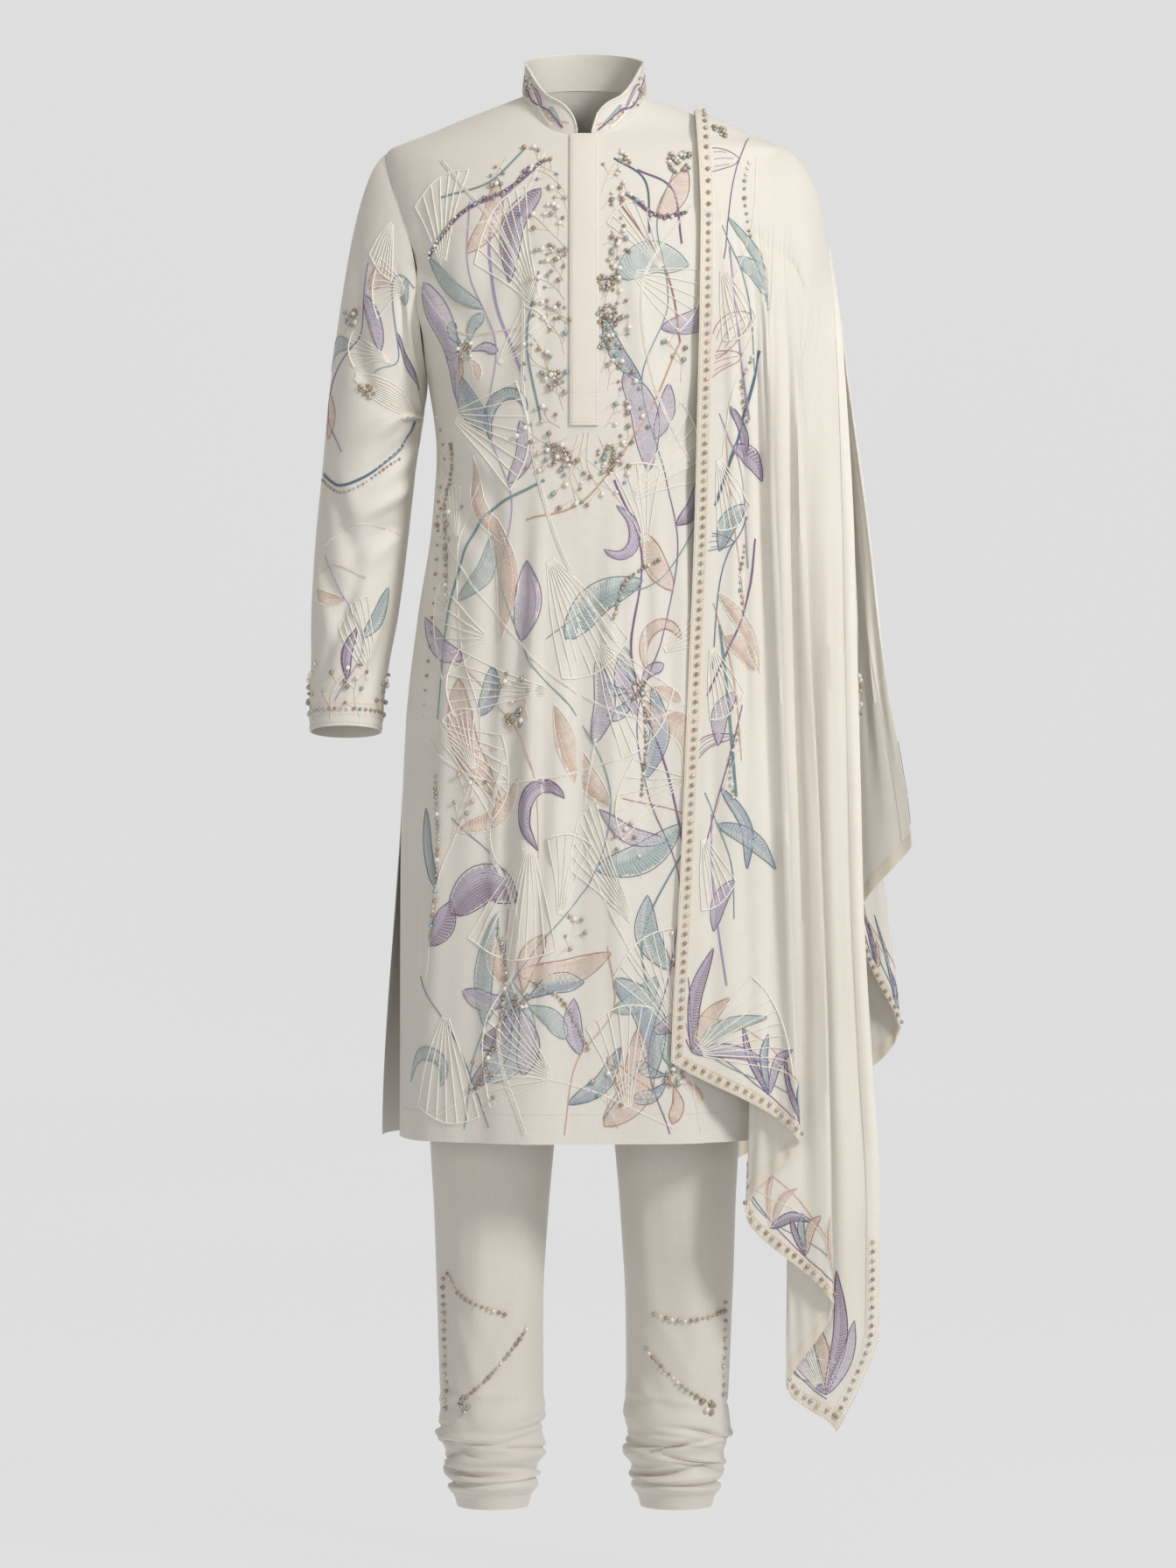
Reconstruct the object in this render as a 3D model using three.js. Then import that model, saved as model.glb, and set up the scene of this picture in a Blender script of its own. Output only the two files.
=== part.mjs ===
// A man's churidar suit as it is worn: a long kurta with a band collar and a concealed placket, a pair of
// gathered churidar trousers and a dupatta that lies over the left shoulder.
// Millimetres, +Z up, the front faces -Y and the wearer's left is +X.
// The origin is the middle of the neck at the height where the shoulder seams meet the collar.
import * as THREE from "three";

// Driving dimensions
const HEM = -1066; // kurta hem, below the shoulder at the neck
const ARMPIT = -295;
const SHOULDER_POINT = -58;
const SLIT_TOP = -690;
const SLIT_FLARE = 18; // the back panel's hem is this much wider on each side
const SLIT_GAP = 9; // the front panel's edge draws back by this much at the hem
const NECK_SIDE = 63;
const NECK_RISE = 16; // from the side of the neck to the middle of the back
const NECK_FRONT = 61;
const NECK_BACK = 55;
const COLLAR_HEIGHT = 35;
const COLLAR_GAP = 15;
const COLLAR_ROUND = 24;
const COLLAR_LEAN = 2.5;
const COLLAR_LIFT = 1.2; // above the neckline, so that it clears the panels' straight-sided edge
const PLACKET_WIDTH = 29;
const PLACKET_BOTTOM = -345;
const PLACKET_LIFT = 0.8;
const ARMHOLE_TURN = THREE.MathUtils.degToRad(28);
const CROTCH = -727;
const SEAT = -650;
const WAIST = -490;
const WAISTBAND = 34;
const ANKLE_HEM = -1447;
const CLOTH = 1.2; // kurta and churidar wall
const VEIL = 1; // dupatta wall
const BAND = 0.9; // dupatta border strip
const STIFF = 2; // collar and placket wall
const SEAM = 0.3; // gap between pieces at a seam
const LIE = 3; // clearance of the dupatta over the shoulder
const LIE_ON_BEND = { front: 4, back: 8.6 }; // and this much more where the shoulder turns down
const LIE_BEND_REACH = 26;
const BORDER = 15; // width of the dupatta border
const IVORY = 0xe9e3d6;
const CREAM = 0xede8dc;
const VEIL_COLOUR = 0xf0ebe1;
const BAND_COLOUR = 0xeadfcd;

const { lerp, clamp, degToRad } = THREE.MathUtils;
const ease = (t) => clamp(t, 0, 1) ** 2 * (3 - 2 * clamp(t, 0, 1));

// Smooth curves through a table whose rows are sorted by "at": returns every other column at a given place.
function through(rows) {
  const columns = Object.keys(rows[0]).filter((name) => name !== "at");
  const slopes = columns.map((name) => {
    const step = rows.slice(1).map((row, i) => (row[name] - rows[i][name]) / (row.at - rows[i].at));
    return rows.map((_, i) => {
      if (i === 0) return step[0];
      if (i === step.length) return step[i - 1];
      return step[i - 1] * step[i] > 0 ? (2 * step[i - 1] * step[i]) / (step[i - 1] + step[i]) : 0;
    });
  });
  return (at) => {
    let i = 0;
    while (i < rows.length - 2 && at > rows[i + 1].at) i++;
    const long = rows[i + 1].at - rows[i].at;
    const t = clamp((at - rows[i].at) / long, 0, 1);
    const found = {};
    columns.forEach((name, k) => {
      found[name] = hermite(rows[i][name], rows[i + 1][name], slopes[k][i] * long, slopes[k][i + 1] * long, t);
    });
    return found;
  };
}

function hermite(a, b, leave, arrive, t) {
  const s = 1 - t;
  return a * s * s * (1 + 2 * t) + b * t * t * (3 - 2 * t) + leave * t * s * s - arrive * t * t * s;
}

// ---- The worn shape of the kurta: half width, depth to the front and back, and squareness at each height
const TORSO = through([
  { at: -1066, width: 190, front: 150, back: 142, square: 2.3 },
  { at: -800, width: 189, front: 143, back: 134, square: 2.3 },
  { at: -650, width: 184, front: 136, back: 126, square: 2.3 },
  { at: -532, width: 171, front: 128, back: 113, square: 2.3 },
  { at: -442, width: 157, front: 122, back: 103, square: 2.3 },
  { at: -368, width: 152, front: 120, back: 106, square: 2.25 },
  { at: -298, width: 160, front: 122, back: 117, square: 2.2 },
  { at: -214, width: 186, front: 119, back: 124, square: 2.1 },
  { at: -157, width: 198, front: 111, back: 123, square: 2.0 },
  { at: -100, width: 205, front: 95, back: 117, square: 1.85 },
  { at: -58, width: 204, front: 72, back: 101, square: 1.6 },
  { at: -36, width: 157, front: 53, back: 80, square: 1.5 },
  { at: -22, width: 124, front: 45, back: 72, square: 1.5 },
  { at: -7, width: 85, front: 37, back: 64, square: 1.55 },
  { at: 0, width: 63, front: 33, back: 62, square: 1.7 },
  { at: 8, width: 61, front: 32, back: 59, square: 2.0 },
  { at: 20, width: 60, front: 31, back: 53, square: 2.0 },
]);

// Soft folds that hang in the kurta: turn is measured from the wearer's left side towards the front
const KURTA_FOLDS = [
  { turn: 62, spread: 9, depth: 4, top: -520, bottom: -1066 },
  { turn: 84, spread: 8, depth: -4, top: -420, bottom: -1066 },
  { turn: 103, spread: 9, depth: 4.5, top: -600, bottom: -1066 },
  { turn: 124, spread: 8, depth: -4, top: -480, bottom: -1066 },
  { turn: 146, spread: 10, depth: 4, top: -560, bottom: -1066 },
  { turn: -55, spread: 9, depth: 5, top: -460, bottom: -1066 },
  { turn: -78, spread: 9, depth: -4, top: -420, bottom: -1066 },
  { turn: -101, spread: 10, depth: 5, top: -520, bottom: -1066 },
  { turn: -127, spread: 10, depth: -4, top: -460, bottom: -1066 },
];

function foldDepth(turn, z) {
  const degrees = THREE.MathUtils.radToDeg(turn);
  return KURTA_FOLDS.reduce((sum, fold) => {
    const off = (degrees - fold.turn) / fold.spread;
    return sum + fold.depth * Math.exp(-off * off) * ease((fold.top - z) / (fold.top - fold.bottom));
  }, 0);
}

const power = (value, exponent) => Math.sign(value) * Math.abs(value) ** exponent;

// A point of the torso: turn is 0 at the wearer's left side, a quarter turn at the front and minus that at the back
function torso(turn, z) {
  const form = TORSO(z);
  const behind = Math.sin(turn) < 0;
  const flare = behind ? SLIT_FLARE * ease((SLIT_TOP - z) / (SLIT_TOP - HEM)) : 0;
  const depth = behind ? form.back : form.front;
  const swell = 1 + foldDepth(turn, z) / form.front;
  return new THREE.Vector3(
    (form.width + flare) * power(Math.cos(turn), 2 / form.square) * swell,
    -depth * power(Math.sin(turn), 2 / form.square) * swell,
    z,
  );
}

// How far the torso reaches to the front (side 1) or back (side -1) at a place across it
function torsoDepth(x, z, side) {
  const form = TORSO(z);
  const share = Math.abs(x) / form.width;
  if (z > 0 || share >= 1) return 0;
  return (side > 0 ? form.front : form.back) * (1 - share ** form.square) ** (1 / form.square);
}

// The height of the neckline where it crosses a place of the neck ring
function neckHeight(around) {
  const sine = Math.sin(around);
  if (sine < 0) return neckHeight(0) + NECK_RISE * (-sine) ** 1.4;
  const x = NECK_SIDE * Math.abs(Math.cos(around));
  const reach = NECK_FRONT * sine;
  let [low, high] = [-70, 18];
  for (let i = 0; i < 40; i++) {
    const z = (low + high) / 2;
    const form = TORSO(z);
    const share = Math.min(1, x / form.width);
    const depth = form.front * (1 - share ** form.square) ** (1 / form.square);
    if (depth > reach) low = z;
    else high = z;
  }
  return (low + high) / 2;
}

// The turn of the torso at which it passes a place across it
const turnAt = (x, z) => Math.acos(clamp(x / TORSO(z).width, 0, 1) ** (TORSO(z).square / 2));

// How far the armhole is cut back from the side, as a turn
function armhole(z) {
  const share = clamp((SHOULDER_POINT - z) / (SHOULDER_POINT - ARMPIT), 0, 1);
  return ARMHOLE_TURN * Math.sin(Math.PI * share) ** 0.75;
}

// The turn that leaves a gap of the given width to the seam at the side
function seamTurn(z, gap) {
  const form = TORSO(z);
  return Math.asin(Math.min(1, gap / form.front)) ** (form.square / 2);
}

const RIDGE_ROWS = [0, -8, -20, -38, -58];
const ARMHOLE_ROWS = [-84, -116, -150, -185, -220, -256, -295];
const BODY_ROWS = [-332, -368, -442, -532, -590, -650, -720, -800, -880, -970, -1040, -1066];
const PANEL_HALF = 11;

// The places of a kurta panel's grid, row by row from the neck and shoulders to the hem, as turn and height
function panelPlaces(side) {
  const heights = [...RIDGE_ROWS, ...ARMHOLE_ROWS, ...BODY_ROWS];
  const middle = neckHeight((side * Math.PI) / 2);
  const gone = [0];
  for (let i = 1; i < heights.length; i++) {
    const across = TORSO(heights[i]).width - TORSO(heights[i - 1]).width;
    gone.push(gone[i - 1] + Math.hypot(heights[i] - heights[i - 1], i < RIDGE_ROWS.length ? across : 0));
  }
  const yoke = gone[RIDGE_ROWS.length + ARMHOLE_ROWS.length - 1];
  return heights.map((edge, i) => {
    const down = Math.min(1, gone[i] / yoke);
    const centre = down < 1 ? lerp(middle, ARMPIT, down) : edge;
    const open = ease((SLIT_TOP - edge) / (SLIT_TOP - HEM)) * (side > 0 ? SLIT_GAP : 0);
    const cut = armhole(edge) + seamTurn(edge, SEAM / 2 + open);
    const places = [];
    for (let j = 0; j <= PANEL_HALF; j++) {
      const c = j / PANEL_HALF;
      const around = (c * Math.PI) / 2;
      const top = neckHeight(side * around);
      const topShare = j === 0 ? 0 : (top - neckHeight(0)) / (middle - neckHeight(0));
      const topTurn = j === 0 ? 0 : turnAt(NECK_SIDE * Math.cos(around), top) / (Math.PI / 2);
      const settle = ease(down);
      const turn = lerp(cut, Math.PI / 2, lerp(topTurn, c, settle));
      places.push([turn, lerp(edge, centre, lerp(topShare, c, settle))]);
    }
    const far = places.slice(0, -1).reverse().map(([turn, z]) => [Math.PI - turn, z]);
    return [...places, ...far].map(([turn, z]) => [side * turn, z]);
  });
}

// ---- Walls

// The outward direction of a surface, from small steps in its two parameters
function outward(surface, u, v, du, dv, sense) {
  const across = surface(u + du, v).sub(surface(u - du, v));
  const along = surface(u, v + dv).sub(surface(u, v - dv));
  return across.cross(along).normalize().multiplyScalar(sense);
}

// A closed wall between two grids of points; a loop joins its last column to its first
function shell(name, colour, outer, inner, loop = false) {
  const rows = outer.length;
  const columns = outer[0].length;
  const position = [...outer.flat(), ...inner.flat()].flatMap((point) => point.toArray());
  const at = (layer, i, j) => layer * rows * columns + i * columns + (j % columns);
  const index = [];
  const quad = (a, b, c, d) => index.push(a, b, c, a, c, d);
  const spans = loop ? columns : columns - 1;
  for (let i = 0; i < rows - 1; i++) {
    for (let j = 0; j < spans; j++) {
      quad(at(0, i, j), at(0, i + 1, j), at(0, i + 1, j + 1), at(0, i, j + 1));
      quad(at(1, i, j), at(1, i, j + 1), at(1, i + 1, j + 1), at(1, i + 1, j));
    }
  }
  for (let j = 0; j < spans; j++) {
    quad(at(0, 0, j), at(0, 0, j + 1), at(1, 0, j + 1), at(1, 0, j));
    quad(at(0, rows - 1, j), at(1, rows - 1, j), at(1, rows - 1, j + 1), at(0, rows - 1, j + 1));
  }
  for (let i = 0; i < rows - 1 && !loop; i++) {
    const last = columns - 1;
    quad(at(0, i, 0), at(1, i, 0), at(1, i + 1, 0), at(0, i + 1, 0));
    quad(at(0, i, last), at(0, i + 1, last), at(1, i + 1, last), at(1, i, last));
  }
  const geometry = new THREE.BufferGeometry();
  geometry.setAttribute("position", new THREE.Float32BufferAttribute(position, 3));
  geometry.setIndex(volume(position, index) < 0 ? index.reverse() : index);
  geometry.computeVertexNormals();
  const material = new THREE.MeshStandardMaterial({ color: colour, roughness: 0.7, metalness: 0 });
  const mesh = new THREE.Mesh(geometry, material);
  mesh.name = name;
  return mesh;
}

function volume(position, index) {
  const corner = (i) => new THREE.Vector3().fromArray(position, 3 * index[i]);
  let sum = 0;
  for (let i = 0; i < index.length; i += 3) sum += corner(i).dot(corner(i + 1).cross(corner(i + 2)));
  return sum;
}

// The same grid of points moved along its outward directions
const moved = (points, directions, distance) =>
  points.map((row, i) => row.map((point, j) => point.clone().addScaledVector(directions[i][j], distance)));

const mirrored = (points) => points.map((row) => row.map((p) => new THREE.Vector3(-p.x, p.y, p.z)));

// ---- Kurta

function kurtaPanel(name, side) {
  const places = panelPlaces(side);
  const points = places.map((row) => row.map(([turn, z]) => torso(turn, z)));
  const directions = places.map((row) =>
    row.map(([turn, z]) => {
      const way = outward(torso, turn, z, 0.03, 2, 1);
      return way.dot(torso(turn, z).setZ(0)) < 0 ? way.negate() : way;
    }),
  );
  return shell(name, IVORY, points, moved(points, directions, -CLOTH));
}

// The strip down the middle of the front, which hides the buttons under it
function placket() {
  const top = neckHeight(Math.PI / 2) - 1;
  const rows = 14;
  const columns = 4;
  const points = [];
  const directions = [];
  for (let i = 0; i <= rows; i++) {
    const z = lerp(top, PLACKET_BOTTOM, (i / rows) ** 1.4);
    const round = i === rows ? 0.82 : 1;
    const places = Array.from({ length: columns + 1 }, (_, j) => lerp(-0.5, 0.5, j / columns) * PLACKET_WIDTH * round);
    const turns = places.map((x) => Math.PI / 2 - Math.sign(x) * (Math.PI / 2 - turnAt(Math.abs(x), z)));
    points.push(turns.map((turn) => torso(turn, z)));
    directions.push(turns.map((turn) => outward(torso, turn, z, 0.03, 2, 1)));
  }
  const way = directions[0][2].y > 0 ? -1 : 1;
  return shell(
    "placket",
    CREAM,
    moved(points, directions, way * (PLACKET_LIFT + STIFF)),
    moved(points, directions, way * PLACKET_LIFT),
  );
}

// The band collar, from its rounded left front end round the back to the right one
function collar() {
  const columns = 30;
  const end = Math.asin(COLLAR_GAP / 2 / NECK_SIDE);
  const heights = [0, 0.5, 1];
  const grid = (grow) =>
    heights.map((share) =>
      Array.from({ length: columns + 1 }, (_, j) => {
        const pace = j / columns - Math.sin((4 * Math.PI * j) / columns) / 60;
        const around = Math.PI / 2 - end - pace * (2 * Math.PI - 2 * end);
        const reach = Math.sin(around) > 0 ? NECK_FRONT : NECK_BACK;
        const from = Math.abs(Math.cos(around) * NECK_SIDE) - COLLAR_GAP / 2;
        const near = Math.sin(around) > 0 ? clamp(1 - from / COLLAR_ROUND, 0, 1) : 0;
        const tall = COLLAR_HEIGHT * (Math.sin(around) > 0.2 ? 1 - 0.14 * Math.sin(around) : 1);
        const up = share * tall * Math.sqrt(Math.max(0.03, 1 - near * near));
        const out = grow - (COLLAR_LEAN * up) / COLLAR_HEIGHT;
        return new THREE.Vector3(
          (NECK_SIDE + out) * Math.cos(around),
          -(reach + out) * Math.sin(around) - 0.08 * up * Math.max(0, Math.sin(around)),
          neckHeight(around) + COLLAR_LIFT + up,
        );
      }),
    );
  return shell("collar", IVORY, grid(0.6), grid(0.6 - STIFF));
}

// Half widths, half depths and middle of the left sleeve; rise lifts the front of a ring over its back
const SLEEVE = through([
  { at: -652, x: 245, width: 37, depth: 38.5, y: -12, rise: 6 },
  { at: -619, x: 244, width: 38.8, depth: 40.5, y: -8, rise: 5 },
  { at: -583, x: 241, width: 40.5, depth: 44, y: -2, rise: 3 },
  { at: -529, x: 236, width: 44.7, depth: 49, y: 3, rise: 1 },
  { at: -439, x: 228, width: 48, depth: 54, y: 7, rise: 0 },
  { at: -367, x: 220, width: 49, depth: 57, y: 5, rise: 0 },
  { at: -335, x: 216, width: 50, depth: 58, y: 4, rise: 0 },
]);
const SLEEVE_HEAD = -335;
const SLEEVE_HEAD_ROWS = 6;
const SLEEVE_ROWS = [-367, -403, -439, -484, -529, -556, -583, -619, -637, -652];
const SLEEVE_AROUND = 18;

function sleeveRing(around, z) {
  const ring = SLEEVE(z);
  return new THREE.Vector3(
    ring.x + ring.width * Math.cos(around),
    ring.y - ring.depth * Math.sin(around),
    z + ring.rise * Math.sin(around),
  );
}

// The sleeve head runs from the armhole out over the shoulder and down to the first level ring
function sleeveHead(around, share) {
  const half = (SHOULDER_POINT - ARMPIT) / 2;
  const z = SHOULDER_POINT - half + half * Math.cos(around);
  const side = Math.sin(around) < 0 ? -1 : 1;
  const start = torso(side * armhole(z), z);
  const stop = sleeveRing(around, SLEEVE_HEAD);
  const high = (1 + Math.cos(around)) / 2;
  return new THREE.Vector3(
    hermite(start.x + 0.6, stop.x, lerp(4, 95, high), lerp(4, 30, high), share),
    hermite(start.y, stop.y, -14 * Math.sin(around), 0, share),
    hermite(z, stop.z, -40 - 20 * high - 40 * high * (1 - high), 1.05 * (stop.z - z), share),
  );
}

function sleeve(name, mirror) {
  const turns = Array.from({ length: SLEEVE_AROUND }, (_, j) => (2 * Math.PI * j) / SLEEVE_AROUND);
  const points = [];
  const directions = [];
  for (let i = 0; i <= SLEEVE_HEAD_ROWS; i++) {
    const share = i / SLEEVE_HEAD_ROWS;
    points.push(turns.map((around) => sleeveHead(around, share)));
    directions.push(turns.map((around) => outward(sleeveHead, around, clamp(share, 0.02, 0.98), 0.05, 0.02, 1)));
  }
  for (const z of SLEEVE_ROWS) {
    points.push(turns.map((around) => sleeveRing(around, z)));
    directions.push(turns.map((around) => outward(sleeveRing, around, z, 0.05, -2, 1)));
  }
  const inner = moved(points, directions, -CLOTH);
  const flip = (grid) => (mirror ? mirrored(grid) : grid);
  return shell(name, IVORY, flip(points), flip(inner), true);
}

// ---- Churidar

// The left leg: its outer and inner side, its depth to the front and back, and how far it wraps round (degrees)
const LEG = through([
  { at: -1447, outer: 131, inner: 57.5, front: 38, back: 40, wrap: 180 },
  { at: -1425, outer: 137, inner: 52, front: 42, back: 44, wrap: 180 },
  { at: -1400, outer: 141, inner: 48, front: 44, back: 47, wrap: 180 },
  { at: -1350, outer: 147, inner: 43, front: 49, back: 53, wrap: 180 },
  { at: -1235, outer: 152, inner: 42, front: 55, back: 60, wrap: 180 },
  { at: -1145, outer: 155, inner: 37, front: 60, back: 62, wrap: 180 },
  { at: -1066, outer: 159, inner: 30, front: 64, back: 66, wrap: 180 },
  { at: -950, outer: 160, inner: 20, front: 72, back: 74, wrap: 180 },
  { at: -850, outer: 163, inner: 10, front: 80, back: 82, wrap: 180 },
  { at: -760, outer: 167, inner: 1.5, front: 88, back: 94, wrap: 180 },
  { at: CROTCH, outer: 168, inner: 0.2, front: 93, back: 103, wrap: 180 },
  { at: -712, outer: 168, inner: 0.2, front: 96, back: 110, wrap: 146 },
  { at: -690, outer: 168, inner: 0.2, front: 99, back: 117, wrap: 116 },
  { at: SEAT, outer: 166, inner: 0.2, front: 102, back: 123.9, wrap: 92 },
  { at: -610, outer: 161, inner: 0.2, front: 103, back: 114, wrap: 90 },
  { at: -540, outer: 150, inner: 0.2, front: 101, back: 99, wrap: 90 },
  { at: WAIST, outer: 140, inner: 0.2, front: 98, back: 91, wrap: 90 },
]);

// The rolls of spare length that ring the ankle: tilt lifts the side at "turn" degrees
const ANKLE_ROLLS = [
  { at: -1356, reach: 13, bulge: 3.5, tilt: 6, turn: 160 },
  { at: -1380, reach: 8.5, bulge: 6, tilt: 5, turn: 20 },
  { at: -1398, reach: 7, bulge: 5.5, tilt: 4, turn: 200 },
  { at: -1413, reach: 6, bulge: 5, tilt: 3, turn: 70 },
  { at: -1427, reach: 5.5, bulge: 4.5, tilt: 2, turn: 250 },
];
const LEG_ROWS = [
  WAIST, -540, -610, SEAT, -690, -712, CROTCH, -760, -850, -950, -1066, -1145, -1235, -1310, -1340, -1350, -1358,
  -1366, -1373, -1380, -1386, -1392, -1398, -1404, -1409, -1415, -1420, -1426, -1432, -1438, ANKLE_HEM,
];
const LEG_AROUND = 18;

// "around" goes from -1 at the front edge of the leg's cloth, over 0 at the outer side, to 1 at its back edge
function leg(around, z) {
  const form = LEG(z);
  const back = around > 0;
  const depth = back ? form.back : form.front;
  const wrap = Math.min(degToRad(form.wrap), Math.PI - SEAM / 2 / depth);
  const middle = (form.inner - form.outer * Math.cos(wrap)) / (1 - Math.cos(wrap));
  const turn = around * wrap;
  const swell = ANKLE_ROLLS.reduce((sum, roll) => {
    const height = roll.at + roll.tilt * Math.cos(turn - degToRad(roll.turn));
    return sum + roll.bulge * Math.exp(-(((z - height) / roll.reach) ** 2));
  }, 0);
  const fade = 1 - (1 - SEAM / 2 / depth) * Math.exp(-(((1 - Math.abs(around)) / 0.02) ** 2));
  return new THREE.Vector3(
    middle + (form.outer - middle + swell) * Math.cos(turn),
    depth * Math.sin(turn) + swell * Math.sin(turn) * fade,
    z,
  );
}

function churidarLeg(name, mirror) {
  const shares = Array.from({ length: LEG_AROUND + 1 }, (_, j) => (2 * j) / LEG_AROUND - 1);
  const points = LEG_ROWS.map((z) => shares.map((around) => leg(around, z)));
  const directions = LEG_ROWS.map((z) =>
    shares.map((around) => {
      const held = clamp(around, -0.985, 0.985);
      return outward(leg, held, clamp(z, ANKLE_HEM + 2, WAIST - 2), 0.012, -1.5, -1);
    }),
  );
  const inner = moved(points, directions, -CLOTH);
  const flip = (grid) => (mirror ? mirrored(grid) : grid);
  return shell(name, CREAM, flip(points), flip(inner));
}

// The casing at the waist, which stands on the top edges of both legs
function waistband() {
  const form = LEG(WAIST);
  const ring = (z, grow) =>
    Array.from({ length: 36 }, (_, j) => {
      const turn = (2 * Math.PI * j) / 36;
      const depth = Math.sin(turn) > 0 ? form.back : form.front;
      return new THREE.Vector3((form.outer + grow) * Math.cos(turn), (depth + grow) * Math.sin(turn), z);
    });
  const grid = (grow) => [WAIST + SEAM, WAIST + WAISTBAND].map((z) => ring(z, grow));
  return shell("waistband", CREAM, grid(0), grid(-STIFF), true);
}

// ---- Dupatta

// Where the cloth crosses the top of the shoulder, from its inner edge (0) to its outer edge (1)
const CREST = through([
  { at: 0, x: 113, z: -13 },
  { at: 0.2, x: 150, z: -29 },
  { at: 0.4, x: 185, z: -45 },
  { at: 0.55, x: 208, z: -53 },
  { at: 0.7, x: 226, z: -72 },
  { at: 0.85, x: 242, z: -108 },
  { at: 1, x: 253, z: -168 },
]);

// The front fall. Its folds turn at ridges (r) and troughs (l): x across and y deep, at each height
const FRONT_FOLDS = { edge: 0, r1: 0.27, l1: 0.43, r2: 0.64, l2: 0.8, end: 1 };
const FRONT_X = through([
  { at: -1370, edge: 78, r1: 214, l1: 156, r2: 251, l2: 205, end: 251 },
  { at: -1315, edge: 80, r1: 214, l1: 158, r2: 250, l2: 205, end: 281 },
  { at: -1262, edge: 82, r1: 214, l1: 160, r2: 249, l2: 204, end: 299 },
  { at: -1140, edge: 84, r1: 212, l1: 162, r2: 247, l2: 204, end: 300 },
  { at: -1000, edge: 86, r1: 209, l1: 165, r2: 245, l2: 205, end: 292 },
  { at: -790, edge: 96, r1: 202, l1: 168, r2: 238, l2: 205, end: 282 },
  { at: -580, edge: 105, r1: 195, l1: 170, r2: 228, l2: 204, end: 277 },
  { at: -440, edge: 111, r1: 190, l1: 173, r2: 224, l2: 206, end: 273 },
  { at: -310, edge: 114, r1: 186, l1: 178, r2: 219, l2: 212, end: 266 },
  { at: -215, edge: 116, r1: 182, l1: 185, r2: 213, l2: 224, end: 257 },
  { at: -125, edge: 117, r1: 170, l1: 188, r2: 206, l2: 222, end: 250 },
]);
const FRONT_Y = through([
  { at: -1370, edge: -146, r1: -134, l1: -112, r2: -98, l2: -82, end: -58 },
  { at: -1000, edge: -143, r1: -132, l1: -110, r2: -97, l2: -82, end: -58 },
  { at: -790, edge: -134, r1: -124, l1: -106, r2: -94, l2: -80, end: -54 },
  { at: -580, edge: -118, r1: -110, l1: -96, r2: -87, l2: -76, end: -50 },
  { at: -440, edge: -107, r1: -102, l1: -92, r2: -84, l2: -75, end: -48 },
  { at: -310, edge: -103, r1: -97, l1: -91, r2: -83, l2: -76, end: -46 },
  { at: -215, edge: -101, r1: -90, l1: -86, r2: -76, l2: -68, end: -38 },
  { at: -125, edge: -88, r1: -66, l1: -56, r2: -46, l2: -36, end: -10 },
]);
const FRONT_HEM = through([
  { at: 0, z: -984 },
  { at: 0.27, z: -1066 },
  { at: 0.43, z: -1136 },
  { at: 0.64, z: -1235 },
  { at: 0.8, z: -1315 },
  { at: 1, z: -1363 },
]);

// The back fall hangs behind the body and the arm, with its outer edge outside the sleeve
const BACK_FOLDS = { edge: 0, mid: 0.25, l2: 0.55, r2: 0.7, l1: 0.86, end: 1 };
const BACK_X = through([
  { at: -1130, edge: 94, mid: 195, l2: 284, r2: 330, l1: 286, end: 350 },
  { at: -962, edge: 96, mid: 194, l2: 275, r2: 326, l1: 285, end: 345 },
  { at: -770, edge: 100, mid: 190, l2: 264, r2: 306, l1: 282, end: 338 },
  { at: -580, edge: 105, mid: 184, l2: 252, r2: 284, l1: 279, end: 309 },
  { at: -440, edge: 108, mid: 178, l2: 242, r2: 268, l1: 274, end: 292 },
  { at: -310, edge: 110, mid: 172, l2: 232, r2: 252, l1: 264, end: 274 },
  { at: -215, edge: 112, mid: 165, l2: 222, r2: 240, l1: 250, end: 260 },
  { at: -125, edge: 113, mid: 160, l2: 213, r2: 230, l1: 242, end: 252 },
]);
const BACK_Y = through([
  { at: -1130, edge: 142, mid: 132, l2: 96, r2: 76, l1: 56, end: 34 },
  { at: -770, edge: 130, mid: 122, l2: 90, r2: 71, l1: 52, end: 30 },
  { at: -580, edge: 117, mid: 112, l2: 86, r2: 69, l1: 51, end: 28 },
  { at: -440, edge: 112, mid: 109, l2: 86, r2: 68, l1: 50, end: 26 },
  { at: -310, edge: 111, mid: 107, l2: 84, r2: 66, l1: 46, end: 22 },
  { at: -215, edge: 110, mid: 103, l2: 74, r2: 54, l1: 36, end: 14 },
  { at: -125, edge: 104, mid: 88, l2: 46, r2: 30, l1: 18, end: 5 },
]);
const BACK_HEM = through([
  { at: 0, z: -1130 },
  { at: 0.55, z: -1020 },
  { at: 0.7, z: -962 },
  { at: 0.86, z: -850 },
  { at: 1, z: -770 },
]);
const FRONT_COLUMNS = [0, null, 0.12, 0.19, 0.24, 0.27, 0.3, 0.35, 0.4, 0.43, 0.46, 0.52, 0.58, 0.62, 0.64, 0.67, 0.72,
  0.77, 0.8, 0.83, 0.88, 0.93, null, 1];
const BACK_COLUMNS = [0, null, 0.1, 0.2, 0.32, 0.44, 0.51, 0.55, 0.59, 0.65, 0.7, 0.74, 0.8, 0.86, 0.9, null, 1];
const CREST_ROWS = [0, 0.12, 0.25, 0.4, 0.56, 0.72, 0.87];
const CREST_DROP = 115;

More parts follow.
